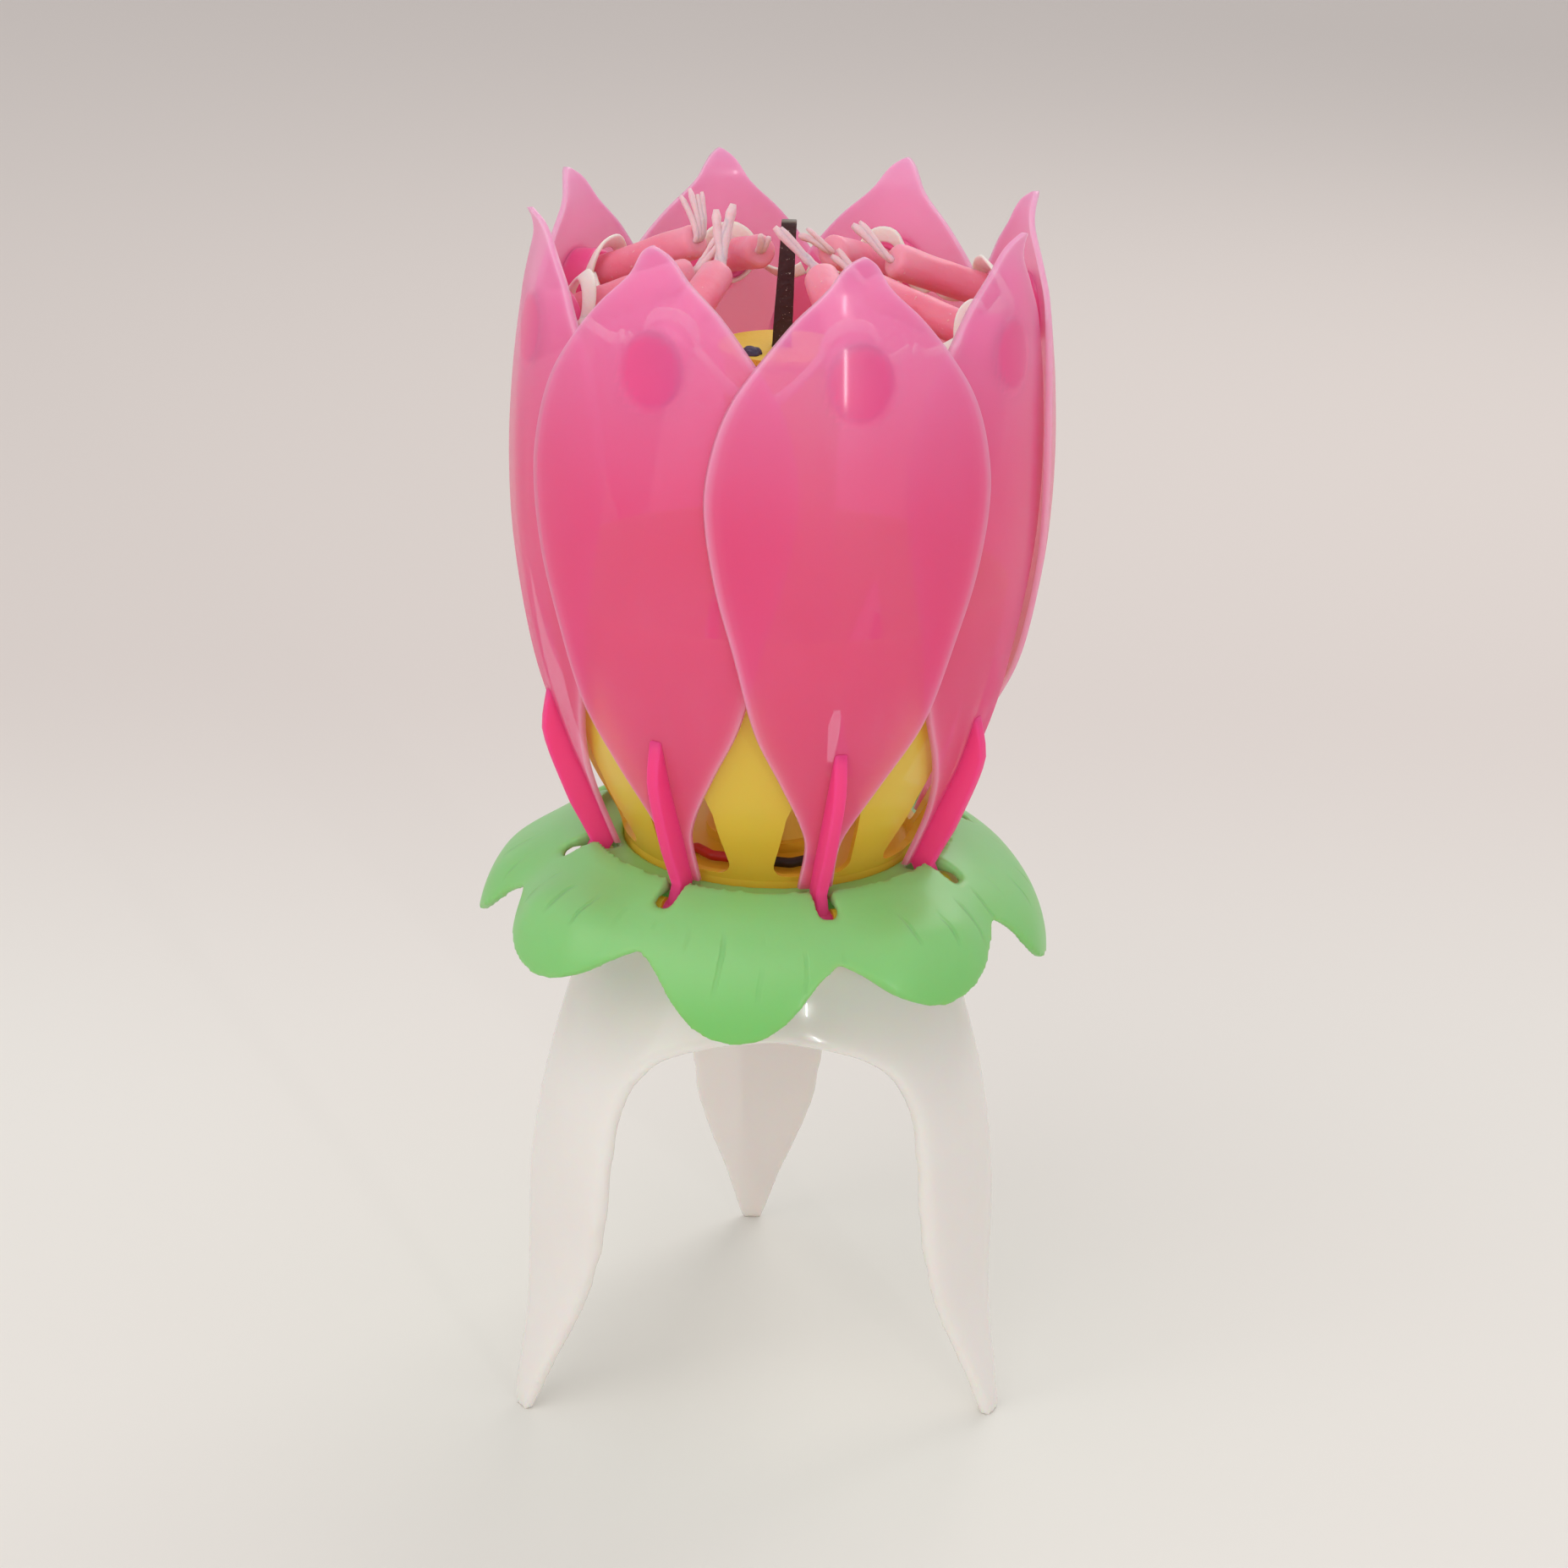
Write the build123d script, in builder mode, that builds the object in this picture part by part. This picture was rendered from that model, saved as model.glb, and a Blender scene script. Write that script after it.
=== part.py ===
from build123d import *
import math
import os

os.makedirs("parts", exist_ok=True)

# Musical lotus candle, closed, on its tripod. Millimetres, +Z up. The origin is on the floor, on the
# axis that the flower turns about. Directions round the axis are degrees from +X towards +Y.

# Clearances and overrun
running_clearance = 0.06
loose_clearance = 0.3
fit_clearance = 0.05
cut_overrun = 2.0

# Flower layout
petal_count = 8
petal_pitch = 360 / petal_count
first_petal_angle = -73.5
leg_count = 3
first_leg_angle = -28.1

# Petals: one moulding each, a sheet with a keel rib, a candle socket and a knuckle with two trunnions
petal_foot_z = 70.4
petal_tip_z = 146.4
petal_belly_radius = 30.9
petal_half_width = 16.2
petal_wall = 0.7
petal_tip_round = 0.4
layer_step = 1.4
rib_thickness = 1.5
rib_top_z = 89.8
rib_depth = 3.05
rib_steps = 9
hinge_radius_from_axis = 22.3
hinge_z = 67.5
knuckle_radius = 1.15
knuckle_width = 1.8
trunnion_radius = 0.6

# Shares of the petal's height, with the outer radius there as a share of the belly radius
petal_profile_shares = [
    (0.0, 0.634), (0.079, 0.712), (0.179, 0.8155), (0.297, 0.909), (0.466, 0.981), (0.6, 1.0),
    (0.732, 0.987), (0.859, 0.951), (0.91, 0.929), (0.955, 0.922), (0.982, 0.938), (1.0, 0.967),
]
# Shares of the petal's height, with the half width there as a share of the widest half width
petal_outline_shares = [
    (0.0, 0.124), (0.08, 0.124), (0.126, 0.2), (0.2, 0.38), (0.29, 0.6), (0.416, 0.78), (0.53, 0.93),
    (0.64, 1.0), (0.72, 0.955), (0.79, 0.84), (0.85, 0.655), (0.905, 0.44), (0.95, 0.215), (0.98, 0.12),
    (1.0, 0.045),
]
# Shares of the rib's height, with its depth as a share of the deepest
rib_depth_shares = [(0.0, 0.8), (0.12, 0.87), (0.25, 0.97), (0.5, 0.93), (0.7, 0.83), (0.78, 0.72), (1.0, 0.05)]
# Round the flower some petals lie outside, some inside, and two are twisted, one edge out and one in
petal_layers = [0.5, -0.5, 0.5, -0.5, 0.5, -0.5, 0, 0]
petal_twists = [0, 0, 0, 0, 0, 0, 3, 3]
petal_twist_radius = 29.5
sheet_half_arc = 36
profile_steps = 18
profile_crowding = 1.3
# Where the layers part on the petal's height, and how much of the step is left at the tip
layer_rise_shares = (0.165, 0.337)
layer_fall_shares = (0.863, 1.0)
layer_tip_share = 0.15

# Candle sockets, candles, wicks and ribbon
socket_z = 133.0
socket_base_radius = 3.7
socket_mouth_radius = 3.1
socket_length = 5.0
socket_bore_depth = 3.6
candle_radius = 2.0
candle_reach = 19.5
candle_leans = [22, 12, 20, 17, 15, 23, 14, 20]
candle_swings = [2, 8, -9, -2, 0, 6, -8, -8]
candle_end_rounding = 0.6
wick_radius = 0.5
wick_stub = 1.1
wick_length = 4.6
wick_rise_angle = 38
ribbon_thickness = 0.3
ribbon_width = 2.0
ribbon_span_width = 1.5
ribbon_span_z = 134.9
ribbon_span_gap = 0.3
ribbon_inset = 0.3
ribbon_mid_radius = 22.6

# Calyx: soft green skirt with eight lobes that hang between the petals
calyx_wall = 1.2
calyx_collar_wall = 1.3
calyx_rim_radius = 21.6
calyx_rim_z = 71.1
calyx_well_radius = 21.2
calyx_well_z = 69.9
calyx_well_floor = 0.9
calyx_notch_radius = 30.2
calyx_notch_z = 65.5
calyx_tip_radius = 33.2
calyx_tip_z = 57.4
calyx_lobe_half_width = 11.9
calyx_slot_width = 2.3
calyx_slot_end_radius = 25.1
calyx_recess_end_radius = 26.6
calyx_recess_z = 69.0
# Shares of the skirt's run and drop, from the rim to the notches and from there to the lobes' tips
calyx_skirt_shares = [(0.0, 0.0), (0.28, 0.17), (0.63, 0.5), (1.0, 1.0)]
calyx_lobe_fall_shares = [(0.67, 0.46), (1.0, 1.0)]
# How far the skirt's wall is measured sideways instead of downwards, point by point after the rim
calyx_wall_shares = (0.1, 0.2, 0.45, 0.8, 0.95)
# Shares of the lobe's height, with the half width there as a share of the widest
calyx_lobe_shares = [(0.0, 0.0), (0.043, 0.22), (0.173, 0.4), (0.407, 0.59), (0.617, 0.71), (0.827, 0.84),
                     (0.95, 0.95), (1.0, 1.0)]

# Flower cup: yellow moulding whose foot is a flanged skirt over the mechanism case
cup_wall = 1.0
cup_top_radius = 27.0
cup_top_z = 102.5
cup_foot_top_z = 70.5
cup_profile_shares = [(0.0, 0.0), (0.078, 0.12), (0.234, 0.393), (0.422, 0.623), (0.64, 0.81),
                      (0.859, 0.948), (1.0, 1.0)]
cup_floor_z = 69.0
cup_floor_thickness = 1.0
flange_z = 63.7
flange_thickness = 1.2
flange_radius = 23.6
window_bottom_z = 71.2
window_shoulder_z = 80.0
window_top_z = 94.5
window_bottom_half_width = 4.7
window_shoulder_half_width = 4.4
window_corner_radius = 1.8
window_top_half_width = 0.5
ear_thickness = 0.9
ear_radius = 1.25
tube_socket_wall = 1.0
tube_socket_height = 6.0

# Fountain in the middle
tube_radius = 6.6
tube_wall = 0.6
tube_top_z = 128.9
cap_thickness = 0.6
cap_rim = 0.9
charge_inset = 2.0
fuse_width = 2.2
fuse_thickness = 1.3
fuse_top_z = 144.0
fuse_foot_offset = -0.3
fuse_top_offset = 0.25
dab_radius = 1.2
dab_height = 0.8
dab_offset = 5.4
dab_angle = -132

# Tripod stand
leg_wall = 2.2
foot_radius_from_axis = 34.2
bowl_radius = 20.4
bowl_top_z = 62.9
bowl_floor_z = 52.0
bowl_floor_thickness = 1.5
leg_half_width = 8.9
arch_half_width = 19.7
# Shares of the bowl floor's height, with the radius from bowl to foot as a share of their difference
stand_profile_shares = [
    (0.0, 1.0), (0.06, 0.94), (0.125, 0.87), (0.27, 0.73), (0.42, 0.68), (0.577, 0.64), (0.73, 0.565),
    (0.846, 0.46), (0.923, 0.345), (1.0, 0.19),
]
# Shares of the bowl's height, with the radius as a share of the spread from bowl to foot
stand_bowl_shares = [(0.367, 0.058), (0.734, 0.007), (1.0, 0.0)]
# Shares of the bowl floor's height, with the leg's half width as a share of its widest
leg_outline_shares = [
    (0.0, 0.2), (0.058, 0.3), (0.125, 0.4), (0.27, 0.675), (0.423, 0.92), (0.577, 1.0), (0.73, 0.978),
    (0.846, 1.02), (0.915, 1.22), (0.955, 1.52), (0.982, 1.86),
]
stand_boss_radius = 3.6
stand_boss_drop = 2.5

# Mechanism
spindle_radius = 1.5
base_gap = 0.6
base_cover_thickness = 1.2
case_radius = 16.4
case_wall = 1.0
gear_module = 0.5
sun_teeth = 30
pinion_teeth = 10
gear_face = 2.4
gear_floor_gap = 0.3
tooth_thickness_share = 0.40
tooth_tip_share = 0.20
tooth_addendum_share = 0.85
tooth_dedendum_share = 1.15
washer_thickness = 0.3
washer_radius = 3.0
washer_play = 0.1
deck_thickness = 1.0
deck_bush_height = 2.6
bush_radius = 3.0
top_bush_height = 3.2
motor_radius = 3.5
motor_height = 6.0
motor_angle = 90
end_cap_height = 0.7
end_cap_radius = 2.6
motor_shaft_radius = 0.5
shaft_seat_depth = 2.0
cell_radius = 5.8
cell_height = 5.4
cell_orbit_radius = 9.0
cell_rounding = 0.5
cell_groove = 0.6
contact_thickness = 0.25
contact_width = 2.6
contact_tab_length = 7.0
board_thickness = 0.8
board_gap = 0.1
chip_radius = 2.2
chip_height = 0.6
chip_orbit_radius = 9.5
piezo_radius = 7.5
piezo_thickness = 0.3
piezo_rim = 1.2
screw_boss_radius = 1.5
screw_radius = 0.55
screw_head_radius = 1.1
screw_head_height = 0.6
screw_length = 6.0
screw_orbit_radius = 14.1
screw_recess_clearance = 0.1
screw_slot_width = 0.4
lead_radius = 0.6
lead_hole_clearance = 0.25
lead_orbit_radius = 11.8
lead_bend_radius = 1.2
lead_lift = 0.15
lead_straight = 2.5
red_lead_angle = -140
black_lead_angle = -62
switch_angle = -100
switch_orbit_radius = 11.6
switch_length = 4.4
switch_depth = 2.4
switch_height = 2.6
switch_leaf_thickness = 0.3
switch_leaf_length = 5.4
switch_leaf_width = 1.6
switch_leaf_angle = 30

# Places worked out from the sizes above
cup_foot_radius = case_radius + fit_clearance + cup_wall
petal_span = petal_tip_z - petal_foot_z
flange_top_z = flange_z + flange_thickness
cup_floor_top_z = cup_floor_z + cup_floor_thickness
boss_top_z = bowl_floor_z + bowl_floor_thickness + base_gap + base_cover_thickness + gear_floor_gap
base_cover_z = bowl_floor_z + bowl_floor_thickness + base_gap
case_floor_z = base_cover_z + base_cover_thickness
gear_z = boss_top_z
gear_top_z = gear_z + gear_face
deck_z = gear_top_z + washer_thickness + washer_play
deck_top_z = deck_z + deck_thickness
cell_z = deck_top_z + contact_thickness
cell_top_z = cell_z + cell_height
board_z = cell_top_z + contact_thickness + board_gap
case_top_z = cup_floor_z - piezo_thickness - board_gap
case_ceiling_z = case_top_z - case_wall
case_inner_radius = case_radius - case_wall
sun_pitch_radius = gear_module * sun_teeth / 2
pinion_pitch_radius = gear_module * pinion_teeth / 2
motor_orbit_radius = sun_pitch_radius + pinion_pitch_radius
cell_angles = (motor_angle + 120, motor_angle - 120)
screw_angles = (motor_angle + 60, motor_angle - 60, motor_angle + 180)
trunnion_half_length = knuckle_width / 2 + loose_clearance + ear_thickness
socket_tube_radius = tube_radius + fit_clearance


def polar(radius, angle, height=0):
    """Point at a radius and direction round the flower's axis."""
    turn = math.radians(angle)
    return (radius * math.cos(turn), radius * math.sin(turn), height)


def radial_plane(angle):
    """Upright plane through the axis: x is the distance from the axis, y is the height."""
    turn = math.radians(angle)
    return Plane(origin=(0, 0, 0), x_dir=(math.cos(turn), math.sin(turn), 0),
                 z_dir=(math.sin(turn), -math.cos(turn), 0))


def facing_plane(angle):
    """Upright plane on the axis that faces a direction: x runs round the axis, y is the height."""
    turn = math.radians(angle)
    return Plane(origin=(0, 0, 0), x_dir=(-math.sin(turn), math.cos(turn), 0),
                 z_dir=(math.cos(turn), math.sin(turn), 0))


def eased(share, low, high):
    """Rises smoothly from 0 to 1 as share goes from low to high."""
    step = min(1, max(0, (share - low) / (high - low)))
    return step * step * (3 - 2 * step)


def between(table, share):
    """Smooth curve through a table of shares, read at one share."""
    last = len(table) - 1
    slot = 0
    while slot < last - 1 and share > table[slot + 1][0]:
        slot += 1

    def slope(index):
        before = table[max(0, index - 1)]
        after = table[min(last, index + 1)]
        return (after[1] - before[1]) / (after[0] - before[0])

    start, end = table[slot], table[slot + 1]
    gap = end[0] - start[0]
    t = (share - start[0]) / gap
    return ((2 * t**3 - 3 * t**2 + 1) * start[1] + (t**3 - 2 * t**2 + t) * gap * slope(slot)
            + (3 * t**2 - 2 * t**3) * end[1] + (t**3 - t**2) * gap * slope(slot + 1))


def petal_radius(height, layer):
    """Outer radius of a petal's sheet at a height; the layers part where neighbours overlap."""
    share = (height - petal_foot_z) / petal_span
    rise = eased(share, *layer_rise_shares)
    fall = 1 - (1 - layer_tip_share) * eased(share, *layer_fall_shares)
    return petal_belly_radius * between(petal_profile_shares, share) + layer * layer_step * rise * fall


def steps(low, high, count):
    """Evenly spaced values from low to high."""
    return [low + (high - low) * index / count for index in range(count + 1)]



# Petals: sheet, keel rib, candle socket, knuckle and trunnions, each petal with its candle, wick and
# ribbon. The sheet is turned about the flower's axis and trimmed to its outline.


def sheet_points(layer, inset):
    """Points up the sheet, inset from its outer face, closer together near the tip."""
    shares = [1 - (1 - step) ** profile_crowding for step in steps(0, 1, profile_steps)]
    heights = [petal_foot_z + petal_span * share for share in shares]
    return [(petal_radius(height, layer) - inset, height) for height in heights]


def petal_sheet(angle, layer):
    """Curved sheet cut to the petal's outline."""
    right = [(petal_half_width * width, petal_foot_z + petal_span * share)
             for share, width in petal_outline_shares]
    left = [(-x, z) for x, z in reversed(right)]
    outer = sheet_points(layer, 0)
    inner = list(reversed(sheet_points(layer, petal_wall)))
    with BuildPart() as outline:
        with BuildSketch(facing_plane(angle)):
            with BuildLine():
                Spline(*right)
                ThreePointArc(right[-1], (0, petal_tip_z + petal_tip_round), left[0])
                Spline(*left)
                Line(left[-1], right[0])
            make_face()
        extrude(amount=petal_belly_radius + petal_half_width)
    with BuildPart() as sheet:
        with BuildSketch(radial_plane(angle - sheet_half_arc)):
            with BuildLine():
                Spline(*outer)
                Line(outer[-1], inner[0])
                Spline(*inner)
                Line(inner[-1], outer[0])
            make_face()
        revolve(axis=Axis.Z, revolution_arc=2 * sheet_half_arc)
        add(outline.part, mode=Mode.INTERSECT)
    return sheet.part


def socket_plane(angle, layer, lean, swing):
    """Plane at the sheet's inner face whose z points along the candle, inwards and up."""
    start = polar(petal_radius(socket_z, layer) - petal_wall, angle, socket_z)
    inward = math.radians(angle + 180 - swing)
    rise = math.radians(lean)
    along = (math.cos(rise) * math.cos(inward), math.cos(rise) * math.sin(inward), math.sin(rise))
    return Plane(origin=start, x_dir=(-math.sin(inward), math.cos(inward), 0), z_dir=along)


def candle_socket(angle, layer, socket):
    """Tapered cup on the sheet's inner face, with the candle's bore."""
    inside = sheet_points(layer, petal_wall / 2)
    with BuildPart() as room:
        with BuildSketch(radial_plane(angle - sheet_half_arc)):
            with BuildLine():
                Spline(*inside)
                Polyline(inside[-1], (0, inside[-1][1]), (0, inside[0][1]), inside[0])
            make_face()
        revolve(axis=Axis.Z, revolution_arc=2 * sheet_half_arc)
    with BuildPart() as cup:
        with BuildSketch(socket.offset(-socket_length)):
            Circle(socket_base_radius)
        extrude(amount=socket_length)
        with BuildSketch(socket):
            Circle(socket_base_radius)
        with BuildSketch(socket.offset(socket_length)):
            Circle(socket_mouth_radius)
        loft(ruled=True)
        add(room.part, mode=Mode.INTERSECT)
        with BuildSketch(socket.offset(socket_length - socket_bore_depth)):
            Circle(candle_radius + fit_clearance)
        extrude(amount=socket_bore_depth + cut_overrun, mode=Mode.SUBTRACT)
    return cup.part


def rib_and_knuckle(angle, layer):
    """Keel rib down the petal's stem to the knuckle, and the two trunnions."""
    heights = steps(petal_foot_z, rib_top_z, rib_steps)
    shares = steps(0, 1, rib_steps)
    along_sheet = [(petal_radius(height, layer) - petal_wall / 2, height) for height in heights]
    crest = [(petal_radius(height, layer) + rib_depth * between(rib_depth_shares, share), height)
             for height, share in zip(heights, shares)]
    knuckle_back = (hinge_radius_from_axis - knuckle_radius, hinge_z)
    knuckle_front = (hinge_radius_from_axis + knuckle_radius, hinge_z)
    with BuildPart() as rib:
        with BuildSketch(radial_plane(angle)):
            with BuildLine():
                Spline(*along_sheet)
                Line(along_sheet[-1], crest[-1])
                Spline(*reversed(crest))
                Polyline(crest[0], knuckle_front, knuckle_back, along_sheet[0])
            make_face()
        extrude(amount=rib_thickness / 2, both=True)
        with BuildSketch(radial_plane(angle)):
            with Locations((hinge_radius_from_axis, hinge_z)):
                Circle(knuckle_radius)
        extrude(amount=knuckle_width / 2, both=True)
        with BuildSketch(radial_plane(angle)):
            with Locations((hinge_radius_from_axis, hinge_z)):
                Circle(trunnion_radius)
        extrude(amount=trunnion_half_length, both=True)
    return rib.part


def ribbon_loop(angle, socket):
    """Loop of ribbon round the socket's mouth, with a half span to each neighbour."""
    taper = (socket_base_radius - socket_mouth_radius) / socket_length
    far = socket_length - ribbon_inset
    near = far - ribbon_width
    mouth = [(offset, socket_base_radius - taper * offset + fit_clearance) for offset in (near, far)]
    side_radius = (mouth[0][1] + mouth[1][1]) / 2 + ribbon_thickness / 3
    middle = socket.offset((near + far) / 2)
    with BuildPart() as ribbon:
        for offset, radius in mouth:
            with BuildSketch(socket.offset(offset)):
                Circle(radius + ribbon_thickness)
        loft(ruled=True)
        for side in (-1, 1):
            end = Vector(*polar(ribbon_mid_radius, angle + side * petal_pitch / 2, ribbon_span_z))
            turn = math.radians(angle + side * petal_pitch / 2)
            back = Vector(math.sin(turn), -math.cos(turn), 0) * (side * ribbon_span_gap)
            start = middle.origin - middle.x_dir * (side * side_radius)
            reach = end + back - start
            strip = Plane(origin=start, x_dir=polar(1, angle), z_dir=reach)
            with BuildSketch(strip):
                Rectangle(ribbon_thickness, ribbon_span_width)
            extrude(amount=reach.length)
        for offset, radius in mouth:
            with BuildSketch(socket.offset(offset)):
                Circle(radius)
        loft(ruled=True, mode=Mode.SUBTRACT)
    return ribbon.part


for index in range(petal_count):
    number = index + 1
    angle = first_petal_angle + index * petal_pitch
    layer = petal_layers[index]
    lean = candle_leans[index]
    swing = candle_swings[index]
    socket = socket_plane(angle, layer, lean, swing)
    twist = Axis(polar(petal_twist_radius, angle), (0, 0, 1))
    sheet = petal_sheet(angle, layer).rotate(twist, petal_twists[index])
    cup = candle_socket(angle, layer, socket)
    rib = rib_and_knuckle(angle, layer)

    with BuildPart() as petal:
        add(sheet)
        add(cup)
        add(rib)
    petal.part.label = f"petal_{number}"
    export_step(petal.part, f"parts/petal_{number}.step")

    with BuildPart() as candle:
        with BuildSketch(socket.offset(socket_length - socket_bore_depth)):
            Circle(candle_radius)
        extrude(amount=candle_reach - socket_length + socket_bore_depth)
        fillet(candle.edges().sort_by(Axis(socket.origin, socket.z_dir))[-1], candle_end_rounding)
    candle.part.label = f"candle_{number}"
    export_step(candle.part, f"parts/candle_{number}.step")

    tip = socket.offset(candle_reach)
    rise = math.radians(lean + wick_rise_angle)
    inward = math.radians(angle + 180 - swing)
    wick_way = Vector(math.cos(rise) * math.cos(inward), math.cos(rise) * math.sin(inward), math.sin(rise))
    with BuildPart() as wick:
        with BuildLine():
            root = tip.origin
            bend = root + socket.z_dir * wick_stub
            FilletPolyline(root, bend, bend + wick_way * wick_length, radius=2 * wick_radius)
        with BuildSketch(tip):
            Circle(wick_radius)
        sweep()
    wick.part.label = f"wick_{number}"
    export_step(wick.part, f"parts/wick_{number}.step")

    ribbon = ribbon_loop(angle, socket)
    ribbon.label = f"ribbon_{number}"
    export_step(ribbon, f"parts/ribbon_{number}.step")


# Calyx: a turned skirt with a collar round the cup's foot and a shallow well inside its rim, notched to
# eight lobes. A slot for each rib ends in a recess that the rib lies in when its petal is open.
collar_radius = cup_foot_radius + fit_clearance
collar_outer_radius = collar_radius + calyx_collar_wall
well_under_z = calyx_well_z - calyx_well_floor
rim_drop = calyx_rim_z - calyx_notch_z
skirt_run = calyx_notch_radius - calyx_rim_radius
lobe_drop = calyx_notch_z - calyx_tip_z
lobe_run = calyx_tip_radius - calyx_notch_radius
skirt_top = [(calyx_rim_radius + skirt_run * run, calyx_rim_z - rim_drop * drop)
             for run, drop in calyx_skirt_shares]
skirt_top += [(calyx_notch_radius + lobe_run * run, calyx_notch_z - lobe_drop * drop)
              for run, drop in calyx_lobe_fall_shares]
skirt_under = [(x - calyx_wall * share, z - calyx_wall * (1 - share))
               for (x, z), share in zip(skirt_top[1:], calyx_wall_shares)]
first_lobe_angle = first_petal_angle - petal_pitch / 2

with BuildPart() as notches:
    with BuildSketch(Plane.XY.offset(calyx_tip_z - cut_overrun)):
        Circle(calyx_tip_radius + cut_overrun)
        Circle(calyx_slot_end_radius, mode=Mode.SUBTRACT)
    extrude(amount=lobe_drop + cut_overrun)
    for index in range(petal_count):
        right = [(calyx_lobe_half_width * width, calyx_tip_z + lobe_drop * share)
                 for share, width in calyx_lobe_shares]
        left = [(-x, z) for x, z in reversed(right)]
        above = [(x, z + cut_overrun) for x, z in (right[-1], left[0])]
        with BuildSketch(facing_plane(first_lobe_angle + index * petal_pitch)):
            with BuildLine():
                Spline(*left, *right[1:])
                Polyline(right[-1], *above, left[0])
            make_face()
        extrude(amount=calyx_tip_radius + 2 * cut_overrun, mode=Mode.SUBTRACT)

with BuildPart() as calyx:
    with BuildSketch(Plane.XZ):
        with BuildLine():
            Spline(*skirt_top)
            Line(skirt_top[-1], skirt_under[-1])
            Spline(*reversed(skirt_under))
            Polyline(skirt_under[0], (collar_outer_radius, well_under_z), (collar_outer_radius, flange_top_z),
                     (collar_radius, flange_top_z), (collar_radius, calyx_well_z),
                     (calyx_well_radius, calyx_well_z), skirt_top[0])
        make_face()
    revolve(axis=Axis.Z)
    add(notches.part, mode=Mode.SUBTRACT)
    for index in range(petal_count):
        angle = first_petal_angle + index * petal_pitch
        slot_start = collar_outer_radius + fit_clearance
        for bottom_z, end_radius in ((calyx_tip_z, calyx_slot_end_radius), (calyx_recess_z, calyx_recess_end_radius)):
            with BuildSketch(Plane(origin=(0, 0, bottom_z), x_dir=polar(1, angle), z_dir=(0, 0, 1))):
                with Locations(((slot_start + end_radius) / 2, 0)):
                    SlotOverall(end_radius - slot_start, calyx_slot_width)
                with Locations((slot_start + calyx_slot_width / 2, 0)):
                    Rectangle(calyx_slot_width, calyx_slot_width)
            extrude(amount=calyx_rim_z - bottom_z + cut_overrun, mode=Mode.SUBTRACT)
calyx.part.label = "calyx"
export_step(calyx.part, "parts/calyx.step")


# Flower cup: turned wall, skirt and flange, eight windows behind the petals, sixteen hinge ears and the
# fountain's socket
cup_rise = cup_top_z - cup_foot_top_z
cup_flare = cup_top_radius - cup_foot_radius
cup_outer = [(cup_foot_radius + cup_flare * run, cup_foot_top_z + cup_rise * rise)
             for rise, run in cup_profile_shares]
cup_inner = [(x - cup_wall, z) for x, z in reversed(cup_outer)]
cup_bore_radius = case_radius + fit_clearance

with BuildPart() as flower_cup:
    with BuildSketch(Plane.XZ):
        with BuildLine():
            Spline(*cup_outer)
            Line(cup_outer[-1], cup_inner[0])
            Spline(*cup_inner)
            Polyline(cup_inner[-1], (cup_inner[-1][0], cup_floor_top_z), (0, cup_floor_top_z),
                     (0, cup_floor_z), (cup_bore_radius, cup_floor_z), (cup_bore_radius, flange_z),
                     (flange_radius, flange_z), (flange_radius, flange_top_z),
                     (cup_foot_radius, flange_top_z), cup_outer[0])
        make_face()
    revolve(axis=Axis.Z)
    with BuildSketch(Plane.XY.offset(cup_floor_top_z)):
        Circle(socket_tube_radius + tube_socket_wall)
    extrude(amount=tube_socket_height)
    with BuildSketch(Plane.XY.offset(cup_floor_top_z)):
        Circle(socket_tube_radius)
    extrude(amount=tube_socket_height, mode=Mode.SUBTRACT)
    for index in range(petal_count):
        angle = first_petal_angle + index * petal_pitch
        with BuildSketch(facing_plane(angle)) as window:
            with BuildLine():
                Polyline((-window_bottom_half_width, window_bottom_z), (window_bottom_half_width, window_bottom_z),
                         (window_shoulder_half_width, window_shoulder_z), (window_top_half_width, window_top_z),
                         (-window_top_half_width, window_top_z), (-window_shoulder_half_width, window_shoulder_z),
                         close=True)
            make_face()
            fillet(window.vertices().group_by(Axis.Y)[0], window_corner_radius)
        extrude(amount=cup_top_radius + cut_overrun, mode=Mode.SUBTRACT)
        inner_face = knuckle_width / 2 + loose_clearance
        for side in (-1, 1):
            with BuildSketch(radial_plane(angle).offset(side * (inner_face + ear_thickness / 2))):
                with Locations((hinge_radius_from_axis, (hinge_z + flange_z) / 2)):
                    Rectangle(2 * ear_radius, hinge_z - flange_z)
                with Locations((hinge_radius_from_axis, hinge_z)):
                    Circle(ear_radius)
            extrude(amount=ear_thickness / 2, both=True)
        with BuildSketch(radial_plane(angle)):
            with Locations((hinge_radius_from_axis, hinge_z)):
                Circle(trunnion_radius + running_clearance)
        extrude(amount=trunnion_half_length + cut_overrun, both=True, mode=Mode.SUBTRACT)
    for angle in (red_lead_angle, black_lead_angle):
        with BuildSketch(Plane.XY.offset(cup_floor_z)):
            with Locations(polar(lead_orbit_radius, angle)):
                Circle(lead_radius + lead_hole_clearance)
        extrude(amount=cup_floor_thickness, mode=Mode.SUBTRACT)
flower_cup.part.label = "flower_cup"
export_step(flower_cup.part, "parts/flower_cup.step")


# Fountain: paper tube with its filling, yellow top disc, dark dab and the fuse, which leans a little
fuse_foot_z = tube_top_z - charge_inset


def fuse_block(low_z, high_z, clearance):
    """The fuse's leaning bar between two heights, or the room for it."""
    with BuildPart() as bar:
        for z in (low_z, high_z):
            share = (z - fuse_foot_z) / (fuse_top_z - fuse_foot_z)
            with BuildSketch(Plane.XY.offset(z)):
                with Locations((fuse_foot_offset + (fuse_top_offset - fuse_foot_offset) * share, 0)):
                    Rectangle(fuse_width + 2 * clearance, fuse_thickness + 2 * clearance)
        loft(ruled=True)
    return bar.part


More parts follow.
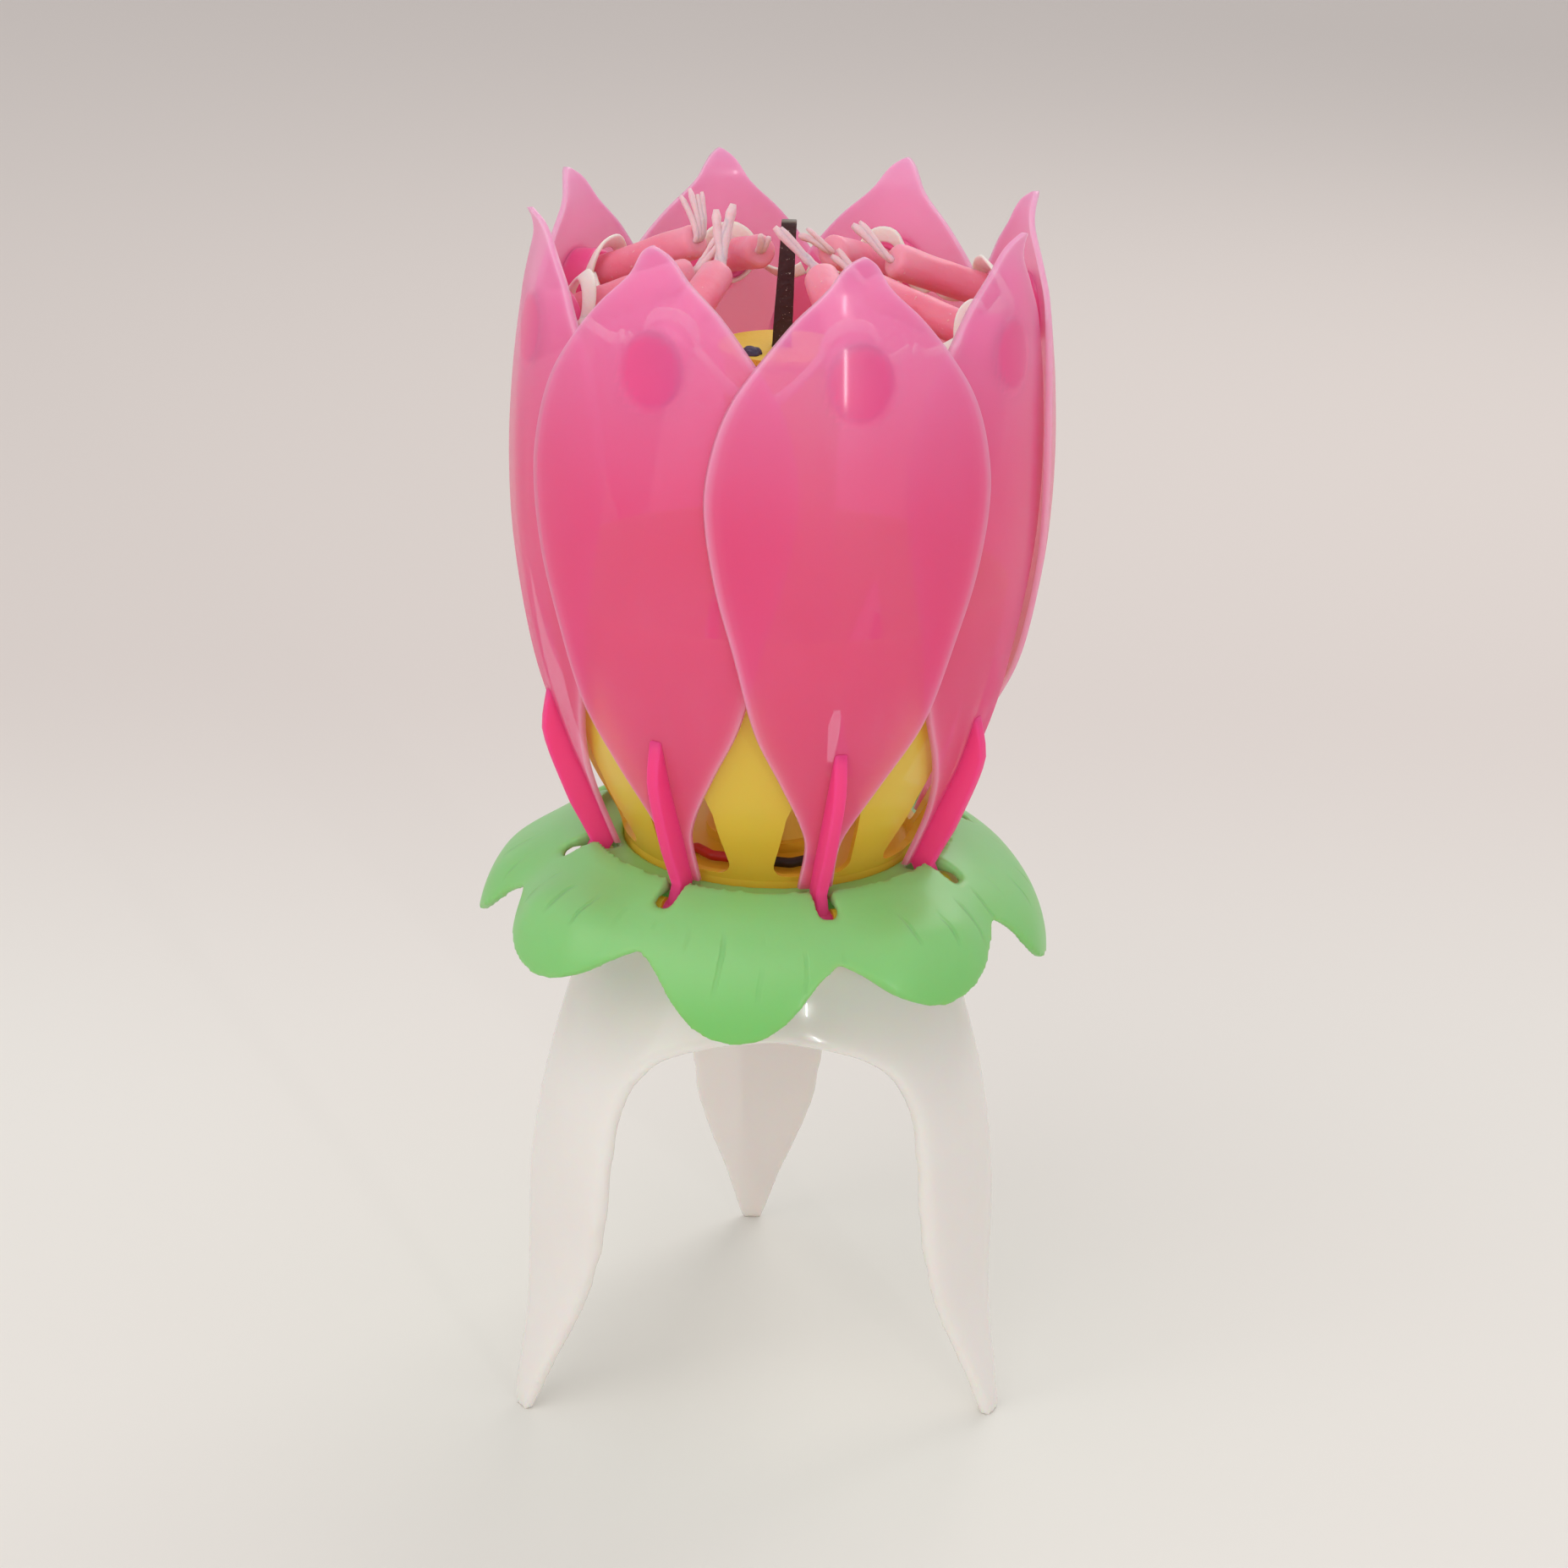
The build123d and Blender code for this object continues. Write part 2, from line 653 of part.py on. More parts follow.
with BuildPart() as fountain_tube:
    with BuildSketch(Plane.XY.offset(cup_floor_top_z)):
        Circle(tube_radius)
        Circle(tube_radius - tube_wall, mode=Mode.SUBTRACT)
    extrude(amount=tube_top_z - cup_floor_top_z)
fountain_tube.part.label = "fountain_tube"
export_step(fountain_tube.part, "parts/fountain_tube.step")

with BuildPart() as fountain_charge:
    with BuildSketch(Plane.XY.offset(cup_floor_top_z)):
        Circle(tube_radius - tube_wall - fit_clearance)
    extrude(amount=tube_top_z - charge_inset - cup_floor_top_z)
fountain_charge.part.label = "fountain_charge"
export_step(fountain_charge.part, "parts/fountain_charge.step")

cap_top_z = tube_top_z + cap_thickness
fuse_room = fuse_block(tube_top_z, cap_top_z, fit_clearance)
with BuildPart() as fountain_cap:
    with BuildSketch(Plane.XY.offset(tube_top_z)):
        Circle(tube_radius + cap_rim)
    extrude(amount=cap_thickness)
    add(fuse_room, mode=Mode.SUBTRACT)
fountain_cap.part.label = "fountain_cap"
export_step(fountain_cap.part, "parts/fountain_cap.step")

fountain_fuse = fuse_block(fuse_foot_z, fuse_top_z, 0)
fountain_fuse.label = "fountain_fuse"
export_step(fountain_fuse, "parts/fountain_fuse.step")

dab_place = polar(dab_offset, dab_angle, cap_top_z)
dab_sphere_radius = (dab_radius**2 + dab_height**2) / (2 * dab_height)
with BuildPart() as primer_dab:
    with Locations((dab_place[0], dab_place[1], cap_top_z + dab_height - dab_sphere_radius)):
        Sphere(dab_sphere_radius)
    split(bisect_by=Plane.XY.offset(cap_top_z), keep=Keep.TOP)
primer_dab.part.label = "primer_dab"
export_step(primer_dab.part, "parts/primer_dab.step")


# Tripod stand: one moulding, turned to one bell shape and trimmed to a bowl and three legs
stand_spread = foot_radius_from_axis - bowl_radius
stand_outer = [(bowl_radius + stand_spread * run, bowl_floor_z * share) for share, run in stand_profile_shares]
bowl_floor_radius = stand_outer[-1][0] - leg_wall / 2
stand_outer += [(bowl_radius + stand_spread * run, bowl_floor_z + (bowl_top_z - bowl_floor_z) * share)
                for share, run in stand_bowl_shares]
stand_inner = [(x - leg_wall, z) for x, z in reversed(stand_outer)]

with BuildPart() as leg_room:
    for index in range(leg_count):
        widths = [(leg_half_width * width, bowl_floor_z * share) for share, width in leg_outline_shares]
        right = widths + [(arch_half_width, bowl_floor_z)]
        left = [(-x, z) for x, z in reversed(right)]
        with BuildSketch(facing_plane(first_leg_angle + index * 360 / leg_count)):
            with BuildLine():
                Spline(*right)
                Line(right[-1], left[0])
                Spline(*left)
                Line(left[-1], right[0])
            make_face()
        extrude(amount=foot_radius_from_axis + cut_overrun)
    with BuildSketch(Plane.XY.offset(bowl_floor_z)):
        Circle(foot_radius_from_axis)
    extrude(amount=bowl_top_z - bowl_floor_z)

with BuildPart() as tripod_stand:
    with BuildSketch(Plane.XZ):
        with BuildLine():
            Spline(*stand_outer)
            Line(stand_outer[-1], stand_inner[0])
            Spline(*stand_inner)
            Line(stand_inner[-1], stand_outer[0])
        make_face()
    revolve(axis=Axis.Z)
    add(leg_room.part, mode=Mode.INTERSECT)
    with BuildSketch(Plane.XY.offset(bowl_floor_z)):
        Circle(bowl_floor_radius)
    extrude(amount=bowl_floor_thickness)
    with BuildSketch(Plane.XY.offset(bowl_floor_z - stand_boss_drop)):
        Circle(stand_boss_radius)
    extrude(amount=boss_top_z - bowl_floor_z + stand_boss_drop)
    with BuildSketch(Plane.XY.offset(boss_top_z)):
        Circle(spindle_radius + fit_clearance)
    extrude(amount=-(boss_top_z - bowl_floor_z), mode=Mode.SUBTRACT)
tripod_stand.part.label = "tripod_stand"
export_step(tripod_stand.part, "parts/tripod_stand.step")


# Spindle and thrust washer, carried by the stand
spindle_top_z = case_ceiling_z - loose_clearance
with BuildPart() as spindle:
    with BuildSketch(Plane.XY.offset(bowl_floor_z)):
        Circle(spindle_radius)
    extrude(amount=spindle_top_z - bowl_floor_z)
    chamfer(spindle.edges().sort_by(Axis.Z)[-1], spindle_radius / 5)
spindle.part.label = "spindle"
export_step(spindle.part, "parts/spindle.step")

with BuildPart() as thrust_washer:
    with BuildSketch(Plane.XY.offset(gear_top_z)):
        Circle(washer_radius)
        Circle(spindle_radius + fit_clearance, mode=Mode.SUBTRACT)
    extrude(amount=washer_thickness)
thrust_washer.part.label = "thrust_washer"
export_step(thrust_washer.part, "parts/thrust_washer.step")


# Gears: the sun is fixed on the spindle and the motor's pinion walks round it
def gear_outline(teeth, first_tooth):
    """Corners of a gear's outline, four to a tooth, with the first tooth pointing at first_tooth."""
    pitch_radius = gear_module * teeth / 2
    tip_radius = pitch_radius + gear_module * tooth_addendum_share
    root_radius = pitch_radius - gear_module * tooth_dedendum_share
    pitch = 360 / teeth
    root_half = pitch * (tooth_thickness_share - tooth_tip_share / 2)
    tip_half = pitch * tooth_tip_share / 2
    corners = []
    for tooth in range(teeth):
        middle = first_tooth + tooth * pitch
        for radius, turn in ((root_radius, -root_half), (tip_radius, -tip_half),
                             (tip_radius, tip_half), (root_radius, root_half)):
            corners.append(polar(radius, middle + turn)[:2])
    return corners


with BuildPart() as sun_gear:
    with BuildSketch(Plane.XY.offset(gear_z)):
        with BuildLine():
            Polyline(*gear_outline(sun_teeth, motor_angle), close=True)
        make_face()
        Circle(spindle_radius + fit_clearance, mode=Mode.SUBTRACT)
    extrude(amount=gear_face)
sun_gear.part.label = "sun_gear"
export_step(sun_gear.part, "parts/sun_gear.step")

motor_place = polar(motor_orbit_radius, motor_angle)
pinion_first_tooth = motor_angle + 180 + 180 / pinion_teeth
with BuildPart() as motor_pinion:
    with BuildSketch(Plane((motor_place[0], motor_place[1], gear_z))):
        with BuildLine():
            Polyline(*gear_outline(pinion_teeth, pinion_first_tooth), close=True)
        make_face()
    extrude(amount=gear_face)
    with BuildSketch(Plane.XY.offset(gear_z)):
        with Locations(motor_place):
            Circle(motor_shaft_radius + fit_clearance)
    extrude(amount=gear_face, mode=Mode.SUBTRACT)
motor_pinion.part.label = "motor_pinion"
export_step(motor_pinion.part, "parts/motor_pinion.step")


# Motor on the deck; its shaft hangs down through the deck to the pinion
shaft_bottom_z = gear_z + running_clearance
with BuildPart() as motor_shaft:
    with BuildSketch(Plane.XY.offset(shaft_bottom_z)):
        with Locations(motor_place):
            Circle(motor_shaft_radius)
    extrude(amount=deck_top_z + shaft_seat_depth - shaft_bottom_z)
motor_shaft.part.label = "motor_shaft"
export_step(motor_shaft.part, "parts/motor_shaft.step")

with BuildPart() as motor_can:
    with BuildSketch(Plane.XY.offset(deck_top_z)):
        with Locations(motor_place):
            Circle(motor_radius)
    extrude(amount=motor_height)
    fillet(motor_can.edges().group_by(Axis.Z)[-1], motor_radius / 8)
    with BuildSketch(Plane.XY.offset(deck_top_z)):
        with Locations(motor_place):
            Circle(motor_shaft_radius + running_clearance)
    extrude(amount=shaft_seat_depth + loose_clearance, mode=Mode.SUBTRACT)
motor_can.part.label = "motor_can"
export_step(motor_can.part, "parts/motor_can.step")

with BuildPart() as motor_end_cap:
    with BuildSketch(Plane.XY.offset(deck_top_z + motor_height)):
        with Locations(motor_place):
            Circle(end_cap_radius)
    extrude(amount=end_cap_height)
motor_end_cap.part.label = "motor_end_cap"
export_step(motor_end_cap.part, "parts/motor_end_cap.step")


# Gear deck: carries the motor and the cells, with the lower bush of the spindle
screw_places = [polar(screw_orbit_radius, angle) for angle in screw_angles]
plate_radius = case_inner_radius - fit_clearance

with BuildPart() as gear_deck:
    with BuildSketch(Plane.XY.offset(deck_z)):
        Circle(plate_radius)
        with Locations(*screw_places):
            Circle(screw_boss_radius + loose_clearance, mode=Mode.SUBTRACT)
        with Locations(motor_place):
            Circle(motor_shaft_radius + loose_clearance, mode=Mode.SUBTRACT)
    extrude(amount=deck_thickness)
    with BuildSketch(Plane.XY.offset(deck_top_z)):
        Circle(bush_radius)
    extrude(amount=deck_bush_height)
    with BuildSketch(Plane.XY.offset(deck_z)):
        Circle(spindle_radius + running_clearance)
    extrude(amount=deck_thickness + deck_bush_height, mode=Mode.SUBTRACT)
gear_deck.part.label = "gear_deck"
export_step(gear_deck.part, "parts/gear_deck.step")


# Mechanism case with its upper bush and three screw bosses, and the cover that closes it from below
lead_places = [polar(lead_orbit_radius, angle) for angle in (red_lead_angle, black_lead_angle)]
pilot_depth = screw_length - screw_head_height + loose_clearance

with BuildPart() as mechanism_case:
    with BuildSketch(Plane.XY.offset(case_floor_z)):
        Circle(case_radius)
    extrude(amount=case_top_z - case_floor_z)
    fillet(mechanism_case.edges().group_by(Axis.Z)[-1], case_wall / 2)
    with BuildSketch(Plane.XY.offset(case_floor_z)):
        Circle(case_inner_radius)
        with Locations(*screw_places):
            Circle(screw_boss_radius, mode=Mode.SUBTRACT)
    extrude(amount=case_ceiling_z - case_floor_z, mode=Mode.SUBTRACT)
    with BuildSketch(Plane.XY.offset(case_ceiling_z)):
        Circle(bush_radius)
        Circle(spindle_radius + running_clearance, mode=Mode.SUBTRACT)
    extrude(amount=-top_bush_height)
    with BuildSketch(Plane.XY.offset(case_floor_z)):
        with Locations(*screw_places):
            Circle(screw_radius + fit_clearance)
    extrude(amount=pilot_depth, mode=Mode.SUBTRACT)
    with BuildSketch(Plane.XY.offset(case_ceiling_z)):
        with Locations(*lead_places):
            Circle(lead_radius + lead_hole_clearance)
    extrude(amount=case_top_z - case_ceiling_z, mode=Mode.SUBTRACT)
mechanism_case.part.label = "mechanism_case"
export_step(mechanism_case.part, "parts/mechanism_case.step")

with BuildPart() as base_cover:
    with BuildSketch(Plane.XY.offset(base_cover_z)):
        Circle(case_radius)
        Circle(stand_boss_radius + base_gap, mode=Mode.SUBTRACT)
        with Locations(*screw_places):
            Circle(screw_radius + fit_clearance, mode=Mode.SUBTRACT)
    extrude(amount=base_cover_thickness)
    with BuildSketch(Plane.XY.offset(base_cover_z)):
        with Locations(*screw_places):
            Circle(screw_head_radius + screw_recess_clearance)
    extrude(amount=screw_head_height, mode=Mode.SUBTRACT)
base_cover.part.label = "base_cover"
export_step(base_cover.part, "parts/base_cover.step")

with BuildPart() as case_screws:
    with BuildSketch(Plane.XY.offset(base_cover_z)):
        with Locations(*screw_places):
            Circle(screw_head_radius)
    extrude(amount=screw_head_height)
    with BuildSketch(Plane.XY.offset(base_cover_z)):
        with Locations(*screw_places):
            Circle(screw_radius)
    extrude(amount=screw_length)
    with BuildSketch(Plane.XY.offset(base_cover_z)):
        for place, angle in zip(screw_places, screw_angles):
            with Locations(Location(place, angle)):
                Rectangle(2 * screw_head_radius, screw_slot_width)
    extrude(amount=screw_head_height / 2, mode=Mode.SUBTRACT)
case_screws.part.label = "case_screws"
export_step(case_screws.part, "parts/case_screws.step")


# Button cells side by side on the deck, with a bridge strip under them and a tab on top of each
cell_places = [polar(cell_orbit_radius, angle) for angle in cell_angles]
cell_chord = 2 * cell_orbit_radius * math.sin(math.radians(60))
bridge_place = polar(cell_orbit_radius * math.cos(math.radians(60)), motor_angle + 180)

with BuildPart() as button_cells:
    with BuildSketch(Plane.XY.offset(cell_z)):
        with Locations(*cell_places):
            Circle(cell_radius)
    extrude(amount=cell_height)
    fillet(button_cells.edges().group_by(Axis.Z)[-1], cell_rounding)
    with BuildSketch(Plane.XY.offset(cell_z)):
        with Locations(*cell_places):
            Circle(cell_radius)
            Circle(cell_radius - cell_groove, mode=Mode.SUBTRACT)
    extrude(amount=cell_groove, mode=Mode.SUBTRACT)
button_cells.part.label = "button_cells"
export_step(button_cells.part, "parts/button_cells.step")

with BuildPart() as cell_contacts:
    with BuildSketch(Plane.XY.offset(deck_top_z)):
        with Locations(Location(bridge_place, motor_angle + 90)):
            SlotCenterToCenter(cell_chord, contact_width)
    extrude(amount=contact_thickness)
    with BuildSketch(Plane.XY.offset(cell_top_z)):
        for place, angle in zip(cell_places, cell_angles):
            with Locations(Location(place, angle)):
                SlotOverall(contact_tab_length, contact_width)
    extrude(amount=contact_thickness)
cell_contacts.part.label = "cell_contacts"
export_step(cell_contacts.part, "parts/cell_contacts.step")


# Circuit board over the cells with the melody chip on it, and the sounder on the case's roof
board_top_z = board_z + board_thickness
with BuildPart() as circuit_board:
    with BuildSketch(Plane.XY.offset(board_z)):
        Circle(plate_radius)
        Circle(bush_radius + loose_clearance, mode=Mode.SUBTRACT)
        with Locations(motor_place):
            Circle(motor_radius + loose_clearance, mode=Mode.SUBTRACT)
        with Locations(*screw_places):
            Circle(screw_boss_radius + loose_clearance, mode=Mode.SUBTRACT)
    extrude(amount=board_thickness)
circuit_board.part.label = "circuit_board"
export_step(circuit_board.part, "parts/circuit_board.step")

chip_place = polar(chip_orbit_radius, motor_angle + 180)
chip_sphere_radius = (chip_radius**2 + chip_height**2) / (2 * chip_height)
with BuildPart() as melody_chip:
    with Locations((chip_place[0], chip_place[1], board_top_z + chip_height - chip_sphere_radius)):
        Sphere(chip_sphere_radius)
    split(bisect_by=Plane.XY.offset(board_top_z), keep=Keep.TOP)
melody_chip.part.label = "melody_chip"
export_step(melody_chip.part, "parts/melody_chip.step")

with BuildPart() as piezo_disc:
    with BuildSketch(Plane.XY.offset(case_top_z)):
        Circle(piezo_radius)
    extrude(amount=piezo_thickness / 2)
    with BuildSketch(Plane.XY.offset(case_top_z)):
        Circle(piezo_radius - piezo_rim)
    extrude(amount=piezo_thickness)
piezo_disc.part.label = "piezo_disc"
export_step(piezo_disc.part, "parts/piezo_disc.step")


# Start switch on the cup's floor beside the fountain, and the two leads that run to it from the board
switch_plane = Plane(origin=polar(switch_orbit_radius, switch_angle, cup_floor_top_z),
                     x_dir=polar(1, switch_angle + 90), z_dir=(0, 0, 1))
leaf_root = (switch_orbit_radius + switch_depth / 4, cup_floor_top_z + switch_height)

with BuildPart() as start_switch:
    with BuildSketch(switch_plane):
        Rectangle(switch_length, switch_depth)
    extrude(amount=switch_height)
    with BuildSketch(radial_plane(switch_angle)):
        with Locations(Location((leaf_root[0], leaf_root[1], 0), -switch_leaf_angle)):
            Rectangle(switch_leaf_length, 2 * switch_leaf_thickness, align=(Align.MAX, Align.CENTER))
    extrude(amount=switch_leaf_width / 2, both=True)
start_switch.part.label = "start_switch"
export_step(start_switch.part, "parts/start_switch.step")

lead_z = cup_floor_top_z + lead_lift + lead_radius
for name, angle, side in (("red_lead", red_lead_angle, -1), ("black_lead", black_lead_angle, 1)):
    start = Vector(*polar(lead_orbit_radius, angle, board_top_z))
    above = Vector(*polar(lead_orbit_radius, angle, lead_z))
    along = Vector(*polar(side, switch_angle + 90))
    face = Vector(*polar(switch_orbit_radius, switch_angle, lead_z)) + along * (switch_length / 2)
    with BuildPart() as lead:
        with BuildLine():
            FilletPolyline(start, above, face + along * lead_straight, face, radius=lead_bend_radius)
        with BuildSketch(Plane.XY.offset(board_top_z)):
            with Locations((start.X, start.Y)):
                Circle(lead_radius)
        sweep()
    lead.part.label = name
    export_step(lead.part, f"parts/{name}.step")
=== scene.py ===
import math

import bmesh
import bpy
from mathutils import Matrix, Vector, noise


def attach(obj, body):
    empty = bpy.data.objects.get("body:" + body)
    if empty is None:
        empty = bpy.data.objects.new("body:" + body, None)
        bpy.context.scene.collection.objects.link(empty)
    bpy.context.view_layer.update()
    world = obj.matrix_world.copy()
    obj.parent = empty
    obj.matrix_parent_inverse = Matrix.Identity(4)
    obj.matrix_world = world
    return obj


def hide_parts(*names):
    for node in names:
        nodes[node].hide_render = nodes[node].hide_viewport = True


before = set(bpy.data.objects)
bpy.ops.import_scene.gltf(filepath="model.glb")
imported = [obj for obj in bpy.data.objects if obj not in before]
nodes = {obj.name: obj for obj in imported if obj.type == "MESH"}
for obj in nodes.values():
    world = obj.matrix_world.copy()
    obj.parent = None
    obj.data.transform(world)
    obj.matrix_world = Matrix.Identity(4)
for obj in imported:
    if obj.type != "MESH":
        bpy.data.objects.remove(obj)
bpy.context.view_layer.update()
scene = bpy.context.scene


# Table, light and camera
# A pale matt table under even studio light: a large soft box high on the left, a narrow strip on the right
# at half height that draws thin streaks on the petals and legs, and a dim fill from behind.

mm = 0.001


def paint(red, green, blue):
    """A paint colour, given 0 to 255 as it looks, as the shader wants it."""
    def straight(value):
        share = value / 255
        return share / 12.92 if share <= 0.04045 else ((share + 0.055) / 1.055) ** 2.4
    return (straight(red), straight(green), straight(blue), 1)


class Wire:
    """An output of a shader's node, with the sums that can be done on it."""

    def __init__(self, tree, socket=None):
        self.tree = tree
        self.socket = socket

    def node(self, kind, settings=None, inputs=None, output=0):
        """Adds a node, sets it up, feeds its inputs and gives one of its outputs."""
        made = self.tree.nodes.new("ShaderNode" + kind)
        for name, value in (settings or {}).items():
            setattr(made, name, value)
        for name, value in (inputs or {}).items():
            if isinstance(value, Wire):
                self.tree.links.new(value.socket, made.inputs[name])
            else:
                made.inputs[name].default_value = value
        return Wire(self.tree, made.outputs[output])

    def sum(self, operation, *values):
        """A Math node's operation on those wires or numbers."""
        return self.node("Math", {"operation": operation}, dict(enumerate(values)))

    def __add__(self, other):
        return self.sum("ADD", self, other)

    def __radd__(self, other):
        return self.sum("ADD", other, self)

    def __sub__(self, other):
        return self.sum("SUBTRACT", self, other)

    def __rsub__(self, other):
        return self.sum("SUBTRACT", other, self)

    def __mul__(self, other):
        return self.sum("MULTIPLY", self, other)

    def __rmul__(self, other):
        return self.sum("MULTIPLY", other, self)

    def between(self, low, high):
        """0 below low, 1 above high, and a smooth rise in between."""
        return self.node("MapRange", {"interpolation_type": "SMOOTHSTEP"},
                         {"Value": self, "From Min": low, "From Max": high})

    def tint(self, first, second):
        """The first colour where this is 0 and the second where it is 1."""
        return self.node("Mix", {"data_type": "RGBA"}, {0: self, 6: first, 7: second}, 2)

    def grain(self, size, detail):
        """Cloudy noise of that grain size in metres."""
        return self.node("TexNoise", {}, {"Vector": self, "Scale": 1 / size, "Detail": detail}, "Fac")

    def raised(self, depth):
        """This height, read as a bump that deep in metres."""
        return self.node("Bump", {}, {"Height": self, "Distance": depth})

    def along(self, axis):
        """One coordinate of this place: X, Y or Z."""
        return self.node("SeparateXYZ", {}, {0: self}, axis)

    def marked(self, name):
        """The number that the mesh carries under that name."""
        return self.node("Attribute", {"attribute_name": name}, output="Fac")


def new_finish(name, fixed):
    """A material whose shader has those fixed values, with the places on the piece and the shader."""
    material = bpy.data.materials.new(name)
    material.use_nodes = True
    tree = material.node_tree
    shader = tree.nodes["Principled BSDF"]
    for socket, value in fixed.items():
        shader.inputs[socket].default_value = value
    place = Wire(tree).node("TexCoord", output="Object")
    return material, place, shader


def feed(shader, socket, wire):
    """Links a wire to one of the shader's sockets."""
    shader.id_data.links.new(wire.socket, shader.inputs[socket])


def as_piece(name, mesh_maker, material=None):
    """A new object from a bmesh, smooth, with its material."""
    data = bpy.data.meshes.new(name)
    mesh_maker.to_mesh(data)
    mesh_maker.free()
    for face in data.polygons:
        face.use_smooth = True
    if material:
        data.materials.append(material)
    piece = bpy.data.objects.new(name, data)
    scene.collection.objects.link(piece)
    return piece


table_width = 4000 * mm
# Where the table's colour starts to turn cooler behind the object, and where it has turned
table_turn = (40 * mm, 260 * mm)
table_mesh = bmesh.new()
bmesh.ops.create_grid(table_mesh, x_segments=1, y_segments=1, size=table_width / 2)
table_finish, place, shader = new_finish("matt_table", {"Roughness": 0.65, "Specular IOR Level": 0.25})
clouds = place.grain(180 * mm, 2)
far = place.along("Y").between(*table_turn)
near_paint = clouds.tint(paint(234, 229, 223), paint(238, 235, 229))
feed(shader, "Base Color", far.tint(near_paint, paint(221, 211, 206)))
as_piece("table", table_mesh, table_finish)

world = bpy.data.worlds.new("studio")
world.use_nodes = True
scene.world = world
room = world.node_tree.nodes["Background"]
room.inputs["Color"].default_value = paint(238, 238, 238)
room.inputs["Strength"].default_value = 0.8

# For each lamp its place and size in millimetres, its power in watts, and its colour
lamps = [
    ("key_soft_box", (-420, -560, 620), (900, 900), 2.5, (255, 254, 252)),
    ("edge_strip", (298, -620, 170), (9, 120), 0.36, (255, 255, 255)),
    ("back_fill", (260, 520, 560), (520, 420), 1.3, (255, 254, 252)),
]
lamp_aim = Vector((0, 0, 80 * mm))
for name, at, size, watts, colour in lamps:
    lamp = bpy.data.lights.new(name, "AREA")
    lamp.shape = "RECTANGLE"
    lamp.size = size[0] * mm
    lamp.size_y = size[1] * mm
    lamp.energy = watts
    lamp.color = paint(*colour)[:3]
    holder = bpy.data.objects.new(name, lamp)
    spot = Vector(at) * mm
    turned = (lamp_aim - spot).to_track_quat("-Z", "Y").to_matrix().to_4x4()
    holder.matrix_world = Matrix.Translation(spot) @ turned
    scene.collection.objects.link(holder)

camera_spot = Vector((1.555, -394.703, 229.249)) * mm
camera_tilt = math.radians(68.764)
camera_roll = math.radians(1.725)
lens = bpy.data.cameras.new("camera")
lens.sensor_width = 36
lens.lens = 81.295
lens.clip_start = 10 * mm
camera = bpy.data.objects.new("camera", lens)
camera.matrix_world = (Matrix.Translation(camera_spot) @ Matrix.Rotation(camera_tilt, 4, "X")
                       @ Matrix.Rotation(camera_roll, 4, "Z"))
scene.collection.objects.link(camera)
scene.camera = camera
scene.view_settings.view_transform = "Standard"


# Tripod stand
# One milky white plastic moulding with rounded edges: a bowl on three legs that taper to small soles.
# The moulding keeps its CAD shape, remeshed so that every edge is as round as the real one's.

def rounded_copy(node, voxel, passes):
    """A copy of a CAD node as a bmesh, remeshed and smoothed until its edges are round."""
    source = bmesh.new()
    source.from_mesh(nodes[node].data)
    bmesh.ops.remove_doubles(source, verts=source.verts, dist=0.001 * mm)
    draft = as_piece(node + "_draft", source)
    remesh = draft.modifiers.new("remesh", "REMESH")
    remesh.mode = "VOXEL"
    remesh.voxel_size = voxel
    ready = draft.evaluated_get(bpy.context.evaluated_depsgraph_get())
    shape = bmesh.new()
    shape.from_mesh(ready.data)
    bpy.data.objects.remove(draft)
    # What stands on the table only slides along it, so that the soles stay flat
    sole = [vert for vert in shape.verts if vert.co.z < voxel / 2]
    rest = [vert for vert in shape.verts if vert.co.z >= voxel / 2]
    for step in range(passes):
        for verts, lifts in ((rest, True), (sole, False)):
            bmesh.ops.smooth_vert(shape, verts=verts, factor=0.5,
                                  use_axis_x=True, use_axis_y=True, use_axis_z=lifts)
    return shape


milky_plastic, place, shader = new_finish("milky_plastic", {
    "IOR": 1.49, "Subsurface Weight": 0.35, "Subsurface Scale": 4 * mm,
    "Coat Weight": 0.3, "Coat Roughness": 0.05,
})
clouds = place.grain(22 * mm, 2)
speckle = place.grain(0.6 * mm, 2)
feed(shader, "Base Color", clouds.tint(paint(230, 226, 221), paint(236, 233, 229)))
feed(shader, "Roughness", 0.16 + clouds * 0.1)
feed(shader, "Normal", (place.grain(9 * mm, 2) + speckle * 0.02).raised(0.06 * mm))

stand_voxel = 0.6 * mm
stand_smoothings = 26
stand_shape = rounded_copy("tripod_stand", stand_voxel, stand_smoothings)
stand = as_piece("stand_moulding", stand_shape, milky_plastic)
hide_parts("tripod_stand")
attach(stand, "stand")


# Calyx
# A soft green plastic skirt under the petals, with eight drooping lobes and a slot for each petal's rib.
# It is thin and a little cloudy, with faint mould creases that run down each lobe; their colour is darkened
# with painted shade.

def eased(share, low, high):
    """Rises smoothly from 0 to 1 as share goes from low to high."""
    step = min(1, max(0, (share - low) / (high - low)))
    return step * step * (3 - 2 * step)


creases_round = 40
# Where the creases fade in and where they fade out, measured from the axis
crease_start = (26.5 * mm, 28.5 * mm)
crease_end = (31 * mm, 32.2 * mm)
leaf_plastic, place, shader = new_finish("leaf_green_plastic", {
    "IOR": 1.48, "Subsurface Weight": 0.4, "Subsurface Scale": 2.5 * mm,
    "Coat Weight": 0.12, "Coat Roughness": 0.2,
})
east, north, height = (place.along(axis) for axis in "XYZ")
turn = east.sum("ARCTAN2", north, east)
spread = east * east + north * north
reach = spread.sum("SQRT", spread)
clouds = place.grain(14 * mm, 3)
wave = turn * creases_round + clouds * 4
creases = wave.sum("SINE", wave).between(0.86, 1)
creases = creases * reach.between(*crease_start) * (1 - reach.between(*crease_end))
creases = creases * place.grain(9 * mm, 2).between(0.44, 0.6)
